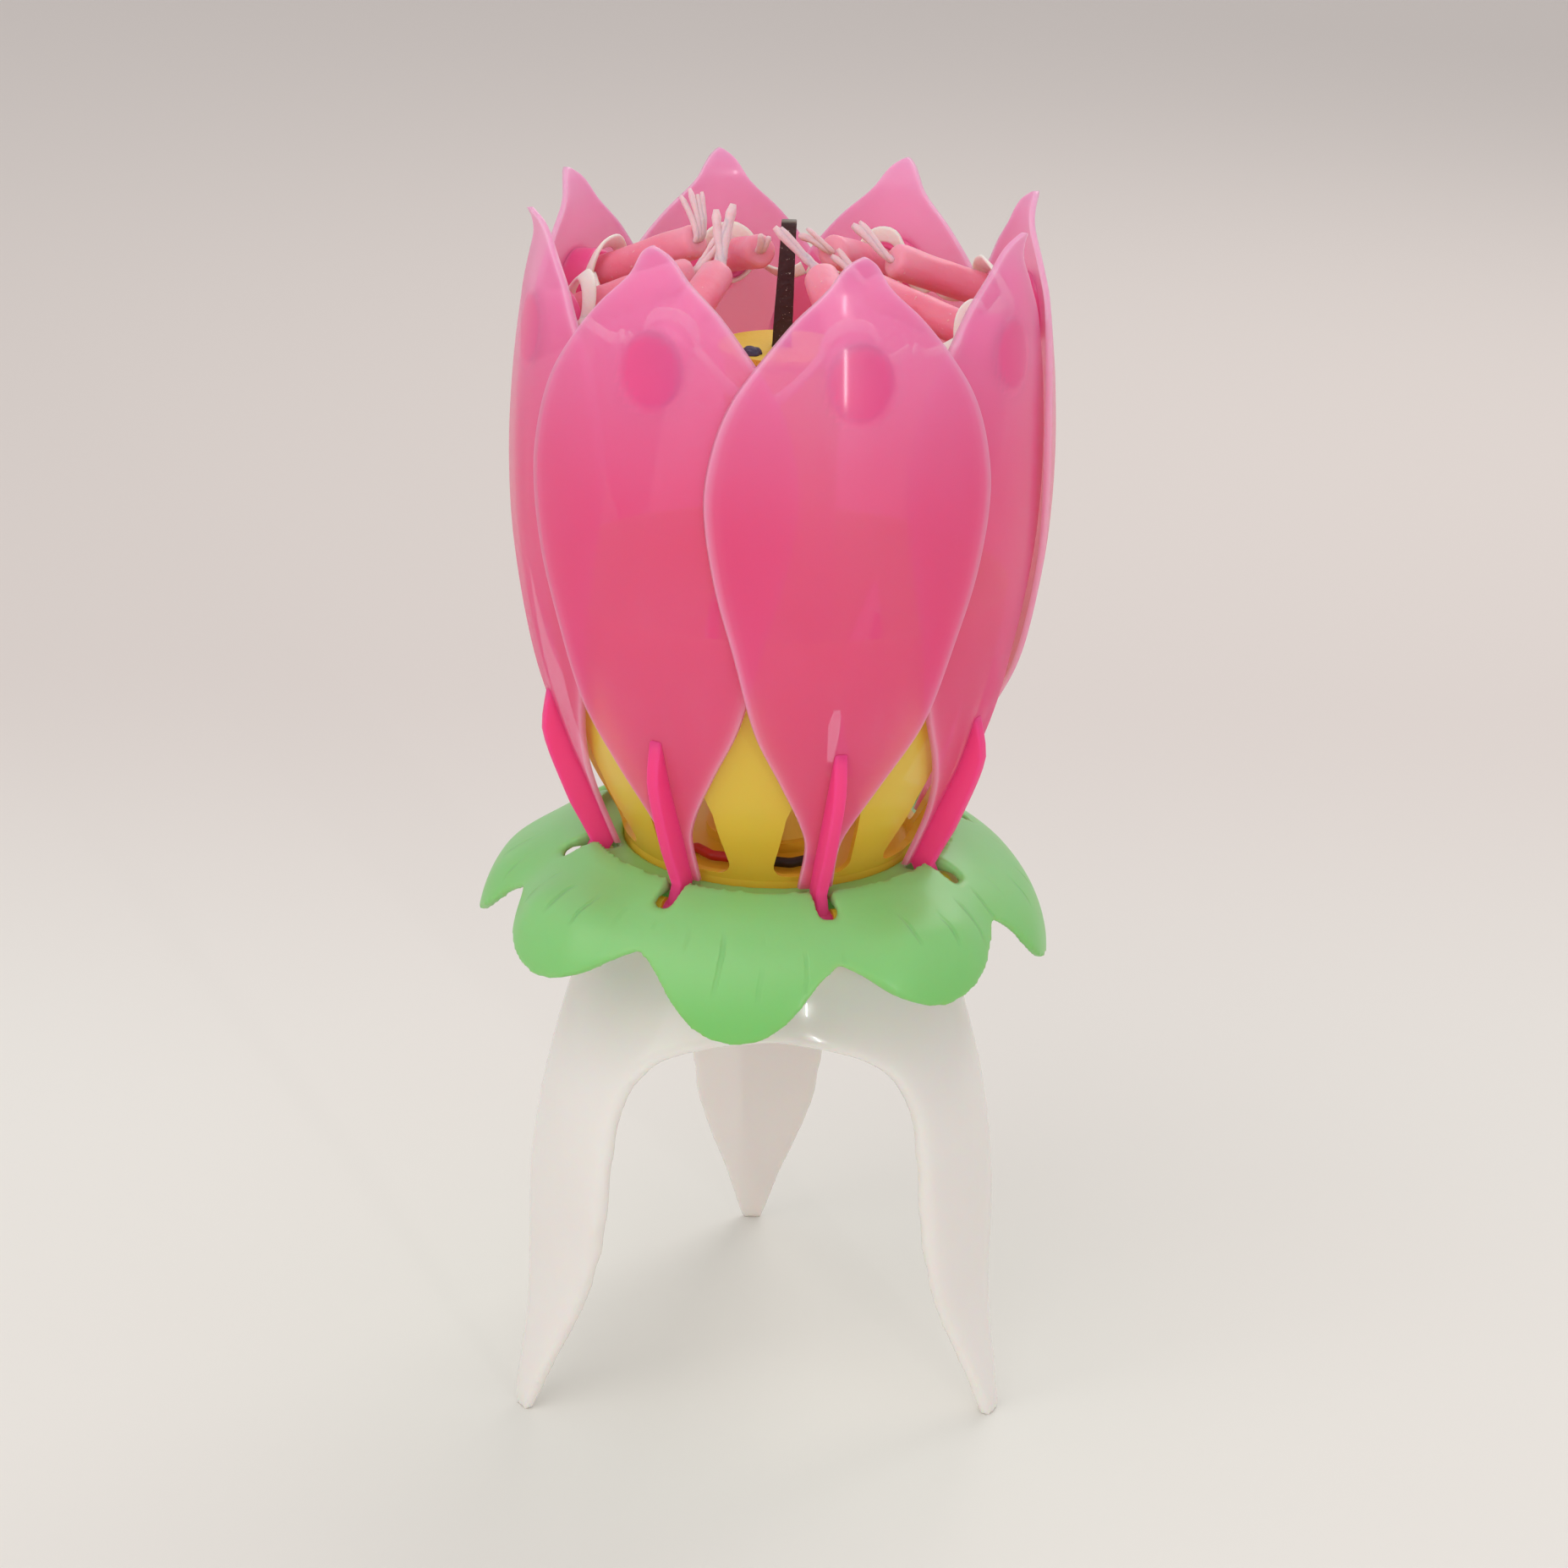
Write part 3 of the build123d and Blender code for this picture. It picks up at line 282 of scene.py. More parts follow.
lower = 1 - height.between(57 * mm, 69 * mm)
green = (clouds * 0.5 + lower * 0.5).tint(paint(143, 208, 130), paint(116, 196, 96))
# Painted shade: the creases darken the green, as shade in a crease would.
feed(shader, "Base Color", (creases * 0.25).tint(green, paint(92, 166, 76)))
feed(shader, "Roughness", 0.3 + clouds * 0.14)
feed(shader, "Normal", (place.grain(3 * mm, 2) * 0.15 - creases * 0.5).raised(0.2 * mm))

calyx_voxel = 0.34 * mm
calyx_smoothings = 4
first_lobe_angle = -96
lobe_pitch = 45
lobe_start_radius = 24 * mm
lobe_end_radius = 33.2 * mm
# Half of the part of a lobe that bends in full, as a share of the lobes' pitch
lobe_middle = 0.12
# For each lobe, how far its tip is bent outwards and upwards from the moulded shape, in millimetres
lobe_bends = [(0, -0.6), (0.6, 2.2), (0.8, -0.7), (0, 0), (0, 0.6), (0.4, -0.4), (1.9, 0.4), (1.3, 2.4)]

skirt = rounded_copy("calyx", calyx_voxel, calyx_smoothings)
for vert in skirt.verts:
    from_axis = Vector((vert.co.x, vert.co.y, 0))
    bend = eased(from_axis.length, lobe_start_radius, lobe_end_radius)
    pitches = (math.degrees(math.atan2(vert.co.y, vert.co.x)) - first_lobe_angle) / lobe_pitch
    nearest = round(pitches)
    bend *= 1 - eased(abs(pitches - nearest), lobe_middle, 0.5)
    outwards, upwards = lobe_bends[nearest % len(lobe_bends)]
    vert.co += (from_axis.normalized() * outwards + Vector((0, 0, upwards))) * bend * mm
calyx = as_piece("calyx_moulding", skirt, leaf_plastic)
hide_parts("calyx")
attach(calyx, "flower")


# Flower cup
# A yellow half-clear moulding inside the petals: a ring at its foot, fingers between eight tall windows,
# and a low socket for the fountain.

def finish_node(node, material):
    """Gives a CAD node its material."""
    data = nodes[node].data
    data.materials.clear()
    data.materials.append(material)


# Painted light: the plastic has a faint yellow glow, standing in for light that comes through the petals into
# the cup.
cup_plastic, place, shader = new_finish("cup_yellow_plastic", {
    "IOR": 1.49, "Subsurface Weight": 0.3, "Subsurface Scale": 2 * mm, "Alpha": 0.78,
    "Coat Weight": 0.15, "Coat Roughness": 0.15,
    "Emission Color": paint(232, 170, 20), "Emission Strength": 0.06,
})
clouds = place.grain(16 * mm, 2)
foot = 1 - place.along("Z").between(66 * mm, 92 * mm)
feed(shader, "Base Color", (clouds * 0.4 + foot * 0.4).tint(paint(228, 206, 80), paint(230, 182, 44)))
feed(shader, "Roughness", 0.26 + clouds * 0.12)
feed(shader, "Normal", place.grain(5 * mm, 2).raised(0.06 * mm))

finish_node("flower_cup", cup_plastic)


# Petals
# Eight thin see-through pink mouldings, each hinged at its foot: a curved sheet, a keel rib down its
# stem, a socket for a candle on its inner face, and a knuckle with two trunnions under the calyx.

petal_plastic, place, shader = new_finish("petal_pink_plastic", {
    "IOR": 1.47, "Subsurface Weight": 0.7, "Subsurface Scale": 2.5 * mm, "Subsurface Radius": (1, 0.5, 0.75),
    "Coat Roughness": 0.08, "Emission Strength": 0.08,
})
rim = place.marked("rim")
thick = place.marked("thick")
clouds = place.grain(17 * mm, 2)
height = place.along("Z")
upper = height.between(112 * mm, 147 * mm)
# Painted light: the sheet is painted paler towards its tip, where the room shines through it, and paler still
# along its rim as a painted highlight.
body = (clouds * 0.2 + upper * 0.8).tint(paint(234, 70, 130), paint(243, 142, 194))
edged = (rim * 0.6).tint(body, paint(248, 190, 212))
feed(shader, "Base Color", (thick * 0.8).tint(edged, paint(240, 48, 126)))
feed(shader, "Alpha", 0.58 + rim * 0.12 + thick * 0.34)
# Painted light: a faint pink glow, paler towards the tip, stands in for light that passes through the petals
# into the shaded inside of the flower.
feed(shader, "Emission Color", upper.tint(paint(246, 84, 146), paint(246, 150, 196)))
glossy = height.between(96 * mm, 114 * mm)
feed(shader, "Coat Weight", glossy * 0.22)
feed(shader, "Roughness", 0.48 - glossy * 0.22 + clouds * 0.1)
feed(shader, "Normal", place.grain(14 * mm, 1).raised(0.05 * mm))

petal_count = 8
petal_pitch = 45
first_petal_angle = -73.5
petal_foot_z = 70.4 * mm
petal_span = 76 * mm
petal_belly_radius = 30.9 * mm
petal_half_width = 16.2 * mm
petal_wall = 0.7 * mm
sheet_columns = 36
sheet_rows = 100
# Power by which the rows crowd towards the tip
row_crowding = 1.25
# Share of the height where the tip starts to round off, and the share that the rounding takes
tip_rounding_start = 0.985
tip_rounding_span = 0.0152
# Petals overlap in layers, which part between two shares of the height and close up again at the tip
layer_step = 1.4 * mm
layer_rise = (0.165, 0.337)
layer_fall = (0.863, 1.0)
layer_loss = 0.85
petal_layers = [0.5, -0.5, 0.5, -0.5, 0.5, -0.5, 0, 0]
# For each petal, how far it turns about its own upright line, in degrees, and that line's radius
petal_twists = [0, 0, 0, 0, 0, 0, 3, 3]
petal_twist_radius = 29.5 * mm
# How fast the pale rim, a painted highlight along the sheet's edge, fades inwards, and how far the socket's
# thick foot fades in and out of its edge
rim_width = 0.45 * mm
foot_fade_in = 0.8 * mm
foot_fade_out = 0.7 * mm
# The sheet's radius and half width up its height, as shares of the largest
petal_profile_shares = [
    (0.0, 0.634), (0.079, 0.712), (0.179, 0.8155), (0.297, 0.909), (0.466, 0.981), (0.6, 1.0),
    (0.732, 0.987), (0.859, 0.951), (0.91, 0.929), (0.955, 0.922), (0.982, 0.938), (1.0, 0.967),
]
petal_outline_shares = [
    (0.0, 0.124), (0.08, 0.124), (0.126, 0.2), (0.2, 0.38), (0.29, 0.6), (0.416, 0.78), (0.53, 0.93),
    (0.64, 1.0), (0.72, 0.955), (0.79, 0.84), (0.85, 0.655), (0.905, 0.44), (0.95, 0.215), (0.98, 0.12),
    (1.0, 0.045),
]
rib_depth = 3.05 * mm
rib_top_z = 89.8 * mm
rib_half_thickness = 0.75 * mm
rib_rounding = 0.3 * mm
rib_steps = 12
rib_depth_shares = [
    (0.0, 0.8), (0.12, 0.87), (0.25, 0.97), (0.5, 0.93), (0.7, 0.83), (0.78, 0.72), (1.0, 0.05),
]
hinge_radius = 22.3 * mm
hinge_z = 67.5 * mm
knuckle_radius = 1.15 * mm
knuckle_half_width = 0.9 * mm
trunnion_radius = 0.6 * mm
trunnion_half_length = 2.1 * mm
socket_z = 133 * mm
socket_base_radius = 3.7 * mm
socket_mouth_radius = 2.75 * mm
socket_length = 5 * mm
socket_bore_radius = 2.05 * mm
socket_bore_depth = 3.6 * mm
# How deep the socket's foot is pressed into the sheet, as a share of its wall; the steps it takes, and
# the share of what is left that each step closes
socket_press = 0.7
press_steps = 40
press_share = 0.8
# For each candle, how steeply it rises from level and how far it swings off the axis, in degrees
candle_leans = [22, 12, 20, 17, 15, 23, 14, 20]
candle_swings = [2, 8, -9, -2, 0, 6, -8, -8]


def between(table, share):
    """Smooth curve through a table of shares, read at one share."""
    last = len(table) - 1
    slot = 0
    while slot < last - 1 and share > table[slot + 1][0]:
        slot += 1

    def slope(index):
        before = table[max(0, index - 1)]
        after = table[min(last, index + 1)]
        return (after[1] - before[1]) / (after[0] - before[0])

    start, end = table[slot], table[slot + 1]
    gap = end[0] - start[0]
    t = (share - start[0]) / gap
    return ((2 * t**3 - 3 * t**2 + 1) * start[1] + (t**3 - 2 * t**2 + t) * gap * slope(slot)
            + (3 * t**2 - 2 * t**3) * end[1] + (t**3 - t**2) * gap * slope(slot + 1))


def petal_radius(share, layer):
    """Outer radius of a petal's sheet at a share of its height."""
    parted = eased(share, *layer_rise) * (1 - layer_loss * eased(share, *layer_fall))
    return petal_belly_radius * between(petal_profile_shares, share) + layer * layer_step * parted


def polar(radius, angle, height=0.0):
    """A place at a radius and an angle in degrees round the axis."""
    turn = math.radians(angle)
    return Vector((radius * math.cos(turn), radius * math.sin(turn), height))


def candle_line(index):
    """Where a candle's socket starts on the petal's inner face, and which way the candle points."""
    angle = first_petal_angle + petal_pitch * index
    share = (socket_z - petal_foot_z) / petal_span
    start = polar(petal_radius(share, petal_layers[index]) - petal_wall, angle, socket_z)
    inward = math.radians(angle + 180 - candle_swings[index])
    rise = math.radians(candle_leans[index])
    along = Vector((math.cos(rise) * math.cos(inward), math.cos(rise) * math.sin(inward), math.sin(rise)))
    return start, along


def mark(mesh_maker, name, verts, value):
    """Writes a number on vertices, for the material to read."""
    layer = mesh_maker.verts.layers.float[name]
    for vert in verts:
        vert[layer] = value


def verts_in(made):
    """The vertices among what an operator made."""
    return [item for item in made["geom"] if isinstance(item, bmesh.types.BMVert)]


def edges_at(verts):
    """All edges that meet those vertices, each once."""
    return list(dict.fromkeys(edge for vert in verts for edge in vert.link_edges))


def next_ring(mesh_maker, loop):
    """Extrudes a loop of edges; gives the new ring's vertices and its edges."""
    made = bmesh.ops.extrude_edge_only(mesh_maker, edges=loop)
    ring = verts_in(made)
    edges = [item for item in made["geom"] if isinstance(item, bmesh.types.BMEdge)
             and item.verts[0] in ring and item.verts[1] in ring]
    return ring, edges


def add_sheet(mesh_maker, index):
    """Curved sheet of even thickness, closed round its edge."""
    layer = petal_layers[index]
    angle = first_petal_angle + petal_pitch * index
    pivot = polar(petal_twist_radius, angle)
    twist = Matrix.Rotation(math.radians(petal_twists[index]), 3, "Z")
    start, along = candle_line(index)
    rim_layer = mesh_maker.verts.layers.float["rim"]
    thick_layer = mesh_maker.verts.layers.float["thick"]
    front = bmesh.ops.create_grid(mesh_maker, x_segments=sheet_columns, y_segments=sheet_rows,
                                  size=1)["verts"]
    faces = list(dict.fromkeys(face for vert in front for face in vert.link_faces))
    back = verts_in(bmesh.ops.extrude_face_region(mesh_maker, geom=faces))
    for verts, inset in ((front, 0), (back, petal_wall)):
        for vert in verts:
            side = vert.co.x
            share = 1 - (1 - (vert.co.y + 1) / 2) ** row_crowding
            half = petal_half_width * between(petal_outline_shares, share)
            if share > tip_rounding_start:
                rounding = (share - tip_rounding_start) / tip_rounding_span
                half *= math.sqrt(max(0.0, 1 - rounding ** 2))
            radius = petal_radius(share, layer) - inset
            bearing = math.degrees(math.asin(side * half / radius))
            spot = polar(radius, angle + bearing, petal_foot_z + petal_span * share)
            if petal_twists[index]:
                spot = pivot + twist @ (spot - pivot)
            from_edge = min((1 - abs(side)) * half, petal_span * (1 - share))
            vert[rim_layer] = math.exp(-from_edge / rim_width)
            off_axis = (spot - start).cross(along).length
            vert[thick_layer] = 1 - eased(off_axis, socket_base_radius - foot_fade_in,
                                          socket_base_radius + foot_fade_out)
            vert.co = spot


def add_rib(mesh_maker, index):
    """Keel rib with its knuckle and trunnions."""
    layer = petal_layers[index]
    angle = first_petal_angle + petal_pitch * index
    crest, root = [], []
    for step in range(rib_steps + 1):
        share = step / rib_steps
        z = petal_foot_z + (rib_top_z - petal_foot_z) * share
        radius = petal_radius((z - petal_foot_z) / petal_span, layer)
        crest.append((radius + rib_depth * between(rib_depth_shares, share), z))
        root.append((radius - petal_wall / 2, z))
    knuckle = [(hinge_radius + knuckle_radius, hinge_z), (hinge_radius - knuckle_radius, hinge_z)]
    outline = root[::-1] + knuckle[::-1] + crest
    side = polar(rib_half_thickness, angle + 90)
    verts = [mesh_maker.verts.new(polar(radius, angle, z) - side) for radius, z in outline]
    face = mesh_maker.faces.new(verts)
    moved = verts_in(bmesh.ops.extrude_face_region(mesh_maker, geom=[face]))
    bmesh.ops.translate(mesh_maker, verts=moved, vec=side * 2)
    long_edges = [edge for edge in edges_at(verts + moved)
                  if abs((edge.verts[0].co - edge.verts[1].co).dot(side)) < side.length_squared]
    bmesh.ops.bevel(mesh_maker, geom=long_edges, offset=rib_rounding, segments=3, profile=0.5,
                    affect="EDGES", material=-1)
    turned = (Matrix.Translation(polar(hinge_radius, angle, hinge_z))
              @ side.to_track_quat("Z", "X").to_matrix().to_4x4())
    for radius, half in ((knuckle_radius, knuckle_half_width), (trunnion_radius, trunnion_half_length)):
        bmesh.ops.create_cone(mesh_maker, cap_ends=True, segments=32, radius1=radius, radius2=radius,
                              depth=2 * half, matrix=turned)


def add_socket(mesh_maker, index):
    """Tapered cup for the candle, its foot pressed into the sheet."""
    start, along = candle_line(index)
    layer = petal_layers[index]
    turned = Matrix.Translation(start) @ along.to_track_quat("Z", "Y").to_matrix().to_4x4()
    level = turned.inverted()
    foot = bmesh.ops.create_circle(mesh_maker, segments=48, radius=socket_base_radius, matrix=turned)["verts"]
    loop = edges_at(foot)
    bmesh.ops.edgeloop_fill(mesh_maker, edges=loop)
    for vert in foot:
        for step in range(press_steps):
            share = (vert.co.z - petal_foot_z) / petal_span
            pressed_radius = petal_radius(share, layer) - petal_wall * socket_press
            vert.co -= along * (pressed_radius - Vector((vert.co.x, vert.co.y)).length) * press_share
    # Rings up the outside, over the lip and down the bore: height, radius, and how much of the way from
    # the foot's curved edge to that flat ring they stand
    profile = [
        (socket_length * 0.3, socket_base_radius - 0.18 * mm, 0.3),
        (socket_length * 0.6, socket_base_radius - 0.36 * mm, 0.7),
        (socket_length - 0.3 * mm, socket_mouth_radius + 0.04 * mm, 1),
        (socket_length - 0.08 * mm, socket_mouth_radius - 0.08 * mm, 1),
        (socket_length, socket_mouth_radius - 0.3 * mm, 1),
        (socket_length, socket_bore_radius + 0.2 * mm, 1),
        (socket_length - 0.2 * mm, socket_bore_radius, 1),
        (socket_length - socket_bore_depth, socket_bore_radius, 1),
    ]
    feet = {}
    for height, radius, share in profile:
        ring, loop = next_ring(mesh_maker, loop)
        for vert in ring:
            local = level @ vert.co
            way = Vector((local.x, local.y, 0)).normalized()
            bearing = round(math.degrees(math.atan2(way.y, way.x)) * 2)
            low = feet.setdefault(bearing, vert.co.copy())
            vert.co = low.lerp(turned @ Vector((way.x * radius, way.y * radius, height)), share)
    bmesh.ops.edgeloop_fill(mesh_maker, edges=loop)


for index in range(petal_count):
    number = index + 1
    shape = bmesh.new()
    shape.verts.layers.float.new("rim")
    shape.verts.layers.float.new("thick")
    add_sheet(shape, index)
    sheet_verts = set(shape.verts)
    add_rib(shape, index)
    add_socket(shape, index)
    mark(shape, "thick", [vert for vert in shape.verts if vert not in sheet_verts], 1)
    bmesh.ops.remove_doubles(shape, verts=shape.verts, dist=0.002 * mm)
    bmesh.ops.recalc_face_normals(shape, faces=shape.faces)
    petal = as_piece(f"petal_moulding_{number}", shape, petal_plastic)
    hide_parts(f"petal_{number}")
    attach(petal, f"petal_body_{number}")


# Candles
# Eight thin pink wax sticks pressed into the sockets. The wax is cloudy, a little crooked, with pale
# specks, and softly rounded at the end that carries the wick.

wax, place, shader = new_finish("pink_wax", {
    "IOR": 1.43, "Subsurface Weight": 0.6, "Subsurface Scale": 1.6 * mm,
    "Coat Weight": 0.12, "Coat Roughness": 0.25,
})
clouds = place.grain(5 * mm, 3)
specks = place.grain(0.55 * mm, 2).between(0.68, 0.76)
wax_colour = clouds.tint(paint(242, 114, 144), paint(246, 150, 172))
frosted_colour = (place.marked("frosted") * 0.5).tint(wax_colour, paint(246, 178, 196))
feed(shader, "Base Color", (specks * 0.6).tint(frosted_colour, paint(250, 214, 206)))
feed(shader, "Roughness", 0.32 + clouds * 0.2)
feed(shader, "Normal", (place.grain(1.6 * mm, 3) + specks * 0.3).raised(0.16 * mm))

candle_radius = 1.98 * mm
candle_foot = socket_length - socket_bore_depth
candle_reach = 19.5 * mm
candle_steps = 26
# The end rounds off over this length, to this share of the radius
candle_rounding = 0.8 * mm
candle_end_share = 0.62
frosted_length = 6 * mm
# How uneven the wax is, and over what length that starts beyond the socket
wax_wobble = 0.17 * mm
wobble_start = 2 * mm


def facing(point, ahead, level):
    """Place at a point whose Z looks ahead and whose X keeps close to level."""
    ahead = ahead.normalized()
    level = (level - ahead * level.dot(ahead)).normalized()
    other = ahead.cross(level)
    return Matrix((
        (level.x, other.x, ahead.x, point.x), (level.y, other.y, ahead.y, point.y),
        (level.z, other.z, ahead.z, point.z), (0, 0, 0, 1),
    ))


def candle_frame(index):
    """Place whose Z runs along the candle from the petal's inner face."""
    start, along = candle_line(index)
    return facing(start, along, Vector((0, 0, 1)).cross(along))


for index in range(petal_count):
    number = index + 1
    place_on = candle_frame(index)
    shape = bmesh.new()
    shape.verts.layers.float.new("frosted")
    ring = bmesh.ops.create_circle(shape, cap_ends=True, segments=28, radius=candle_radius,
                                   matrix=Matrix.Translation((0, 0, candle_foot)))["verts"]
    loop = edges_at(ring)
    for step in range(1, candle_steps + 1):
        share = step / candle_steps
        height = candle_foot + (candle_reach - candle_foot) * (1 - (1 - share) ** 1.5)
        past_rounding = max(0.0, 1 - (candle_reach - height) / candle_rounding)
        rounding = math.sqrt(max(0.0, 1 - past_rounding ** 2))
        fullness = candle_end_share + (1 - candle_end_share) * rounding
        outside = eased(height, socket_length, socket_length + wobble_start)
        ring, loop = next_ring(shape, loop)
        for vert in ring:
            flat = Vector((vert.co.x, vert.co.y, 0)).normalized()
            wobble = noise.noise(Vector((flat.x * 1.4, flat.y * 1.4, height * 260 + index * 7)))
            radius = (candle_radius + wobble * wax_wobble * outside) * fullness
            vert.co = Vector((flat.x * radius, flat.y * radius, height))
        mark(shape, "frosted", ring, eased(height, candle_reach - frosted_length, candle_reach))
    bmesh.ops.edgeloop_fill(shape, edges=loop)
    bmesh.ops.transform(shape, matrix=place_on, verts=shape.verts)
    bmesh.ops.recalc_face_normals(shape, faces=shape.faces)
    candle = as_piece(f"candle_stick_{number}", shape, wax)
    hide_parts(f"candle_{number}")
    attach(candle, f"petal_body_{number}")


# Wicks
# Cotton wicks, dipped in wax. Each is two to four stiff strands that leave the candle together and
# splay towards the fuse; they are drawn out of one bundle and end ragged.

cotton, place, shader = new_finish("waxed_cotton", {
    "Subsurface Weight": 0.3, "Subsurface Scale": 0.6 * mm, "Sheen Weight": 0.15,
})
clouds = place.grain(1.2 * mm, 3)
feed(shader, "Base Color", clouds.tint(paint(236, 192, 200), paint(244, 216, 218)))
feed(shader, "Roughness", 0.5 + clouds * 0.25)
feed(shader, "Normal", place.grain(0.35 * mm, 3).raised(0.1 * mm))

# Gap between the strands where they leave the wax, how deep they start in it, and how far they run on
# straight before they splay
strand_gap = 0.42 * mm
strand_depth = 0.15 * mm
strand_rise = 1.1 * mm
strand_steps = 10
strand_sides = 9
# How much a strand's radius varies along it, and its last ring, as shares of its radius
strand_unevenness = 0.22
strand_end_share = 0.6
# For each wick its strands: the tip's place from the candle's end (X, Y, Z), the strand's radius, and
# how far its middle bows off the straight line, all in millimetres
wick_strands = [
    [((-5.3, 1.9, 4.9), 0.52, (0.2, 0, -0.5)), ((-4.6, 1.8, 4.9), 0.34, (0.1, 0, 0.2))],
    [((-4.6, 1.6, 3.2), 0.42, (0, 0.3, 0.3)), ((-3.9, 2.0, 3.9), 0.36, (0, 0.2, 0.3))],
    [((-4.7, 1.4, 3.6), 0.5, (0.3, 0, 0.5)), ((-3.9, 1.4, 4.0), 0.34, (0.3, 0, 0.4))],
    [((-3.9, 0.4, 1.7), 0.42, (0, 0.1, 0.5)), ((-3.0, 0.2, 2.6), 0.32, (0, 0, 0.3))],
    [((0.1, -1.6, 2.3), 0.44, (0.1, -0.2, 0.3)), ((1.1, -1.3, 2.0), 0.38, (0.1, -0.2, 0.3))],
    [((-2.0, 1.8, 4.7), 0.34, (0.2, 0, 0.3)), ((-1.0, 2.1, 5.5), 0.36, (0.1, 0, 0.2)),
     ((-0.1, 1.9, 4.9), 0.34, (0, 0, 0.2)), ((0.4, 2.0, 5.2), 0.3, (-0.1, 0, 0.2))],
    [((3.4, 1.2, 3.4), 0.4, (0, 0.2, 0.3)), ((2.8, 1.8, 3.9), 0.32, (0, 0.2, 0.3))],
    [((-0.4, 2.6, 6.6), 0.52, (-0.5, 0.1, 0.3)), ((1.5, 2.9, 7.2), 0.56, (-0.3, 0.2, 0.3)),
     ((0.9, 2.2, 5.6), 0.4, (-0.4, 0.1, 0.2))],
]


def ring_at(mesh_maker, place_on, segments, radius, cap):
    """Ring of vertices on a place's XY plane, as its edges."""
    return edges_at(bmesh.ops.create_circle(mesh_maker, cap_ends=cap, segments=segments, radius=radius,
                                            matrix=place_on)["verts"])


def add_tube(mesh_maker, points, radii, segments):
    """Closed tube through points, a ring at each, with those radii."""
    level = (points[1] - points[0]).orthogonal()
    last = len(points) - 1
    before = None
    for spot, point in enumerate(points):
        ahead = points[min(spot + 1, last)] - points[max(spot - 1, 0)]
        loop = ring_at(mesh_maker, facing(point, ahead, level), segments, radii[spot], spot in (0, last))
        if before:
            bmesh.ops.bridge_loops(mesh_maker, edges=before + loop)
        before = loop


for index in range(petal_count):
    number = index + 1
    start, along = candle_line(index)
    tip = start + along * (candle_reach - strand_depth)
    level = Vector((0, 0, 1)).cross(along).normalized()
    shape = bmesh.new()
    strands = wick_strands[index]
    for strand, (reach, radius, bow) in enumerate(strands):
        root = tip + level * (strand - (len(strands) - 1) / 2) * strand_gap
        end = tip + Vector(reach) * mm
        knee = root + along * strand_rise
        middle = (knee + end) / 2 + Vector(bow) * mm
        points, radii = [], []
        for step in range(strand_steps + 1):
            share = step / strand_steps
            points.append(root * (1 - share) ** 3 + knee * 3 * share * (1 - share) ** 2
                          + middle * 3 * share**2 * (1 - share) + end * share**3)
            uneven = noise.noise(Vector((number * 3.1, strand * 5.3, step * 0.9)))
            radii.append(radius * mm * (1 + strand_unevenness * uneven))
        radii[-1] *= strand_end_share
        add_tube(shape, points, radii, strand_sides)
    bmesh.ops.recalc_face_normals(shape, faces=shape.faces)
    wick = as_piece(f"wick_strands_{number}", shape, cotton)
    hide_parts(f"wick_{number}")
    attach(wick, f"petal_body_{number}")


# Tie ribbon
# A soft white ribbon that ties the petals: it loops round each candle socket and hangs slack from one
# to the next. Each petal carries its loop and half of the span on either side.

ribbon_cloth, place, shader = new_finish("ribbon_white_cloth", {
    "Subsurface Weight": 0.25, "Subsurface Scale": 1 * mm, "Sheen Weight": 0.1,
})
clouds = place.grain(2.5 * mm, 3)
feed(shader, "Base Color", clouds.tint(paint(244, 234, 222), paint(250, 245, 238)))
feed(shader, "Roughness", 0.5 + clouds * 0.2)
feed(shader, "Normal", (place.grain(0.3 * mm, 2) * 0.5 + place.grain(2 * mm, 2)).raised(0.12 * mm))

ribbon_thickness = 0.5 * mm
ribbon_loop_offset = 5 * mm
ribbon_top_offset = 0.6 * mm
ribbon_loop_radius = 3 * mm
loop_steps = 40
# How many degrees the lower half of the band leans off the candle, and by how many its waves change that
least_flare = 8
flare_wave = 14
# How far a loop stands off at its top, how far its waves stand off, and how far it strays along the candle
top_bulge = 0.2 * mm
wave_bulge = 0.3 * mm
loop_drift = 0.4 * mm
# The width of a loop's lower half, as a share of the band's width, and how much a span narrows
lower_width_share = 0.8
span_narrowing = 0.18
span_width = 1.6 * mm
span_end_radius = 22.4 * mm
span_half_gap = 0.3 * mm
span_steps = 12
span_sag = 1.2 * mm
span_draw = 0.96 * mm
# Power that makes the band's oblong section out of a circle
squareness = 0.6
# For each petal's loop, its width, how far its top stands off the socket's lip and how far its top is
# drawn towards the candle's wick, in millimetres, and how far its band flares out at the top, in degrees
ribbon_widths = [1.7, 1.4, 2.4, 1.9, 2.4, 2.0, 1.9, 1.7]
ribbon_lifts = [0.1, 0.1, -0.2, 0.2, -0.3, -0.1, 0.5, 0.1]
ribbon_draws = [0, 0.3, 2.0, 0, -0.3, 1.4, 1.5, 0]
ribbon_flares = [30, 40, 30, 60, 75, 30, 20, 30]
# Height at which the ribbon hangs between each petal and the next, in millimetres
span_end_heights = [133.9, 133.2, 133.9, 133.5, 133.9, 134.2, 133.6, 128.0]


def strip_ring(mesh_maker, place_on, width, cap):
    """Rounded oblong across a ribbon, as its edges."""
    loop = ring_at(mesh_maker, Matrix.Identity(4), 12, 1, cap)
    for vert in dict.fromkeys(vert for edge in loop for vert in edge.verts):
        flat = math.copysign(abs(vert.co.x) ** squareness, vert.co.x) * width / 2
        thin = math.copysign(abs(vert.co.y) ** squareness, vert.co.y) * ribbon_thickness / 2
        vert.co = place_on @ Vector((flat, thin, 0))
    return loop


def bridge(mesh_maker, rings):
    """Joins each ring to the next one."""
    for first, second in zip(rings, rings[1:]):
        bmesh.ops.bridge_loops(mesh_maker, edges=first + second)


